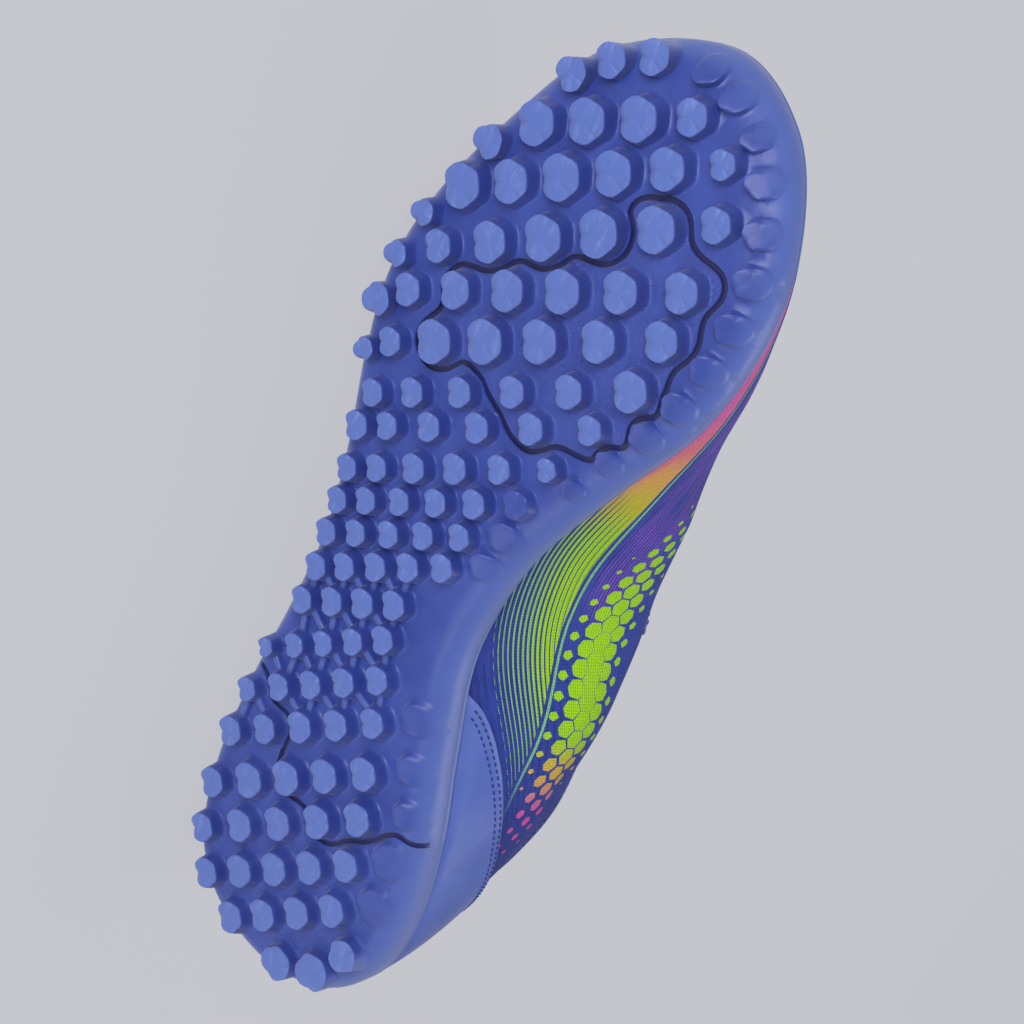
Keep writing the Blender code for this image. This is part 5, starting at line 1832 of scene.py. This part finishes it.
def braid_material():
    """A flat lace: slanted braid strands in blue."""
    paint = Paint("lace_braid", 0.7, sheen=0.2, specular=0.3)
    run, turn = paint.field("run"), paint.field("turn")
    one = ((run + turn * 1.2) / 1.1).wave()
    two = ((run - turn * 1.2) / 1.1).wave()
    weave = one.lowest(two)
    body = paint.mix(weave.step(0.1, 0.6), (44, 58, 146), (92, 110, 204))
    body = paint.mix(paint.noise(0.5, 2).step(0.5, 0.8) * 0.25, body, (122, 138, 218))
    paint.bump(weave, 0.00028)
    return paint.done(body)


def thread_material():
    """Dark twisted sewing thread."""
    paint = Paint("sewing_thread", 0.6, specular=0.35)
    twist = (paint.field("run") * 2.2 + paint.field("turn") * 2).wave()
    body = paint.mix(twist, (24, 32, 108), (52, 66, 156))
    paint.bump(twist, 0.0001)
    return paint.done(body)


# The photograph's view: swing round the standing shoe and rise in degrees, roll, place and lens
CAMERA_SWING = 30.0
CAMERA_RISE = 22.0
CAMERA_ROLL = 22.48025942
CAMERA_PLACE = (-0.2675, 0.3610, -0.4222)
CAMERA_LENS = 74.86
SENSOR = 36.0

FLOOR_SIZE = 8.0
FLOOR_TONE = (198, 198, 204)
FLOOR_SHADE = 0.12
FLOOR_GLOW = 0.90


def make_camera():
    """The photograph's view, given in the standing shoe's frame."""
    swing, rise, roll = (math.radians(v) for v in (CAMERA_SWING, CAMERA_RISE, CAMERA_ROLL))
    back = Vector((-math.sin(swing) * math.cos(rise), math.sin(rise), -math.cos(swing) * math.cos(rise)))
    ahead = -back
    toe = Vector((0, 1, 0))
    up0 = (toe - ahead * toe.dot(ahead)).normalized()
    right0 = ahead.cross(up0)
    up = up0 * math.cos(roll) - right0 * math.sin(roll)
    right = right0 * math.cos(roll) + up0 * math.sin(roll)
    turn = Matrix((right, up, back)).transposed().to_4x4()
    data = bpy.data.cameras.new("view")
    data.lens = CAMERA_LENS
    data.sensor_width = SENSOR
    data.clip_start = 0.01
    data.clip_end = 50
    camera = linked("view", data)
    camera.matrix_world = POSE @ Matrix.Translation(Vector(CAMERA_PLACE)) @ turn
    bpy.context.scene.camera = camera


def make_floor():
    """A wide pale floor that glows a little, so that it stays plain to its far edge."""
    half = FLOOR_SIZE / 2
    mesh = bpy.data.meshes.new("floor")
    corners = [(-half, -half, 0), (half, -half, 0), (half, half, 0), (-half, half, 0)]
    mesh.from_pydata(corners, [], [(0, 1, 2, 3)])
    floor = linked("floor", mesh)
    material = bpy.data.materials.new("pale_floor")
    material.use_nodes = True
    shader = material.node_tree.nodes["Principled BSDF"]
    tone = tuple(linear(part) for part in FLOOR_TONE)
    shader.inputs["Base Color"].default_value = tuple(FLOOR_SHADE * part for part in tone) + (1,)
    shader.inputs["Roughness"].default_value = 0.9
    shader.inputs["Specular IOR Level"].default_value = 0.0
    shader.inputs["Emission Color"].default_value = tone + (1,)
    shader.inputs["Emission Strength"].default_value = FLOOR_GLOW
    mesh.materials.append(material)


WORLD_TONE = (0.80, 0.84, 1.0)
WORLD_STRENGTH = 0.45

# Lamps: place in the world, where it points, size in metres, power in watts
LAMPS = (
    ("key", (-0.75, -1.10, 0.42), (0.0, -0.03, 0.05), 0.90, 15.0),
    ("fill", (0.70, -0.90, 0.16), (0.0, -0.03, 0.04), 0.80, 4.0),
    ("rim", (0.30, 0.60, 1.20), (0.0, 0.0, 0.05), 0.80, 5.0),
)


def make_light():
    world = bpy.context.scene.world or bpy.data.worlds.new("world")
    bpy.context.scene.world = world
    world.use_nodes = True
    background = world.node_tree.nodes["Background"]
    background.inputs["Color"].default_value = WORLD_TONE + (1,)
    background.inputs["Strength"].default_value = WORLD_STRENGTH
    for name, place, aim, size, power in LAMPS:
        data = bpy.data.lights.new(name, "AREA")
        data.shape = "DISK"
        data.size = size
        data.energy = power
        lamp = linked(name, data)
        lamp.location = place
        lamp.rotation_mode = "QUATERNION"
        lamp.rotation_quaternion = (Vector(aim) - Vector(place)).to_track_quat("-Z", "Y")


def main():
    bpy.context.scene.view_settings.view_transform = "Standard"
    rubber, knit, coated, thread = rubber_material(), knit_material(), coated_material(), thread_material()
    lining = cloth_material("lining_cloth", (48, 60, 140), (62, 76, 164), 0.9)
    binding = cloth_material("binding_cloth", (72, 90, 178), (88, 106, 196), 0.8)
    mesh_cloth = cloth_material("tongue_mesh", (54, 70, 158), (70, 86, 180), 1.3)
    footbed_cloth = cloth_material("footbed_cloth", (36, 44, 104), (50, 60, 128), 1.0)
    build_outsole(rubber)
    build_upper([knit, lining])
    build_heel_counter(coated)
    build_eyestay(-1, "stay_medial", "eyestay_medial", coated)
    build_eyestay(1, "stay_lateral", "eyestay_lateral", coated)
    build_collar_binding(binding)
    build_tongue(mesh_cloth)
    build_insole(footbed_cloth)
    build_laces(braid_material())
    build_eyelet_rings(coated)
    build_counter_stitches(thread)
    build_eyestay_stitches(thread)
    build_collar_stitches(thread)
    make_floor()
    make_light()
    make_camera()


main()
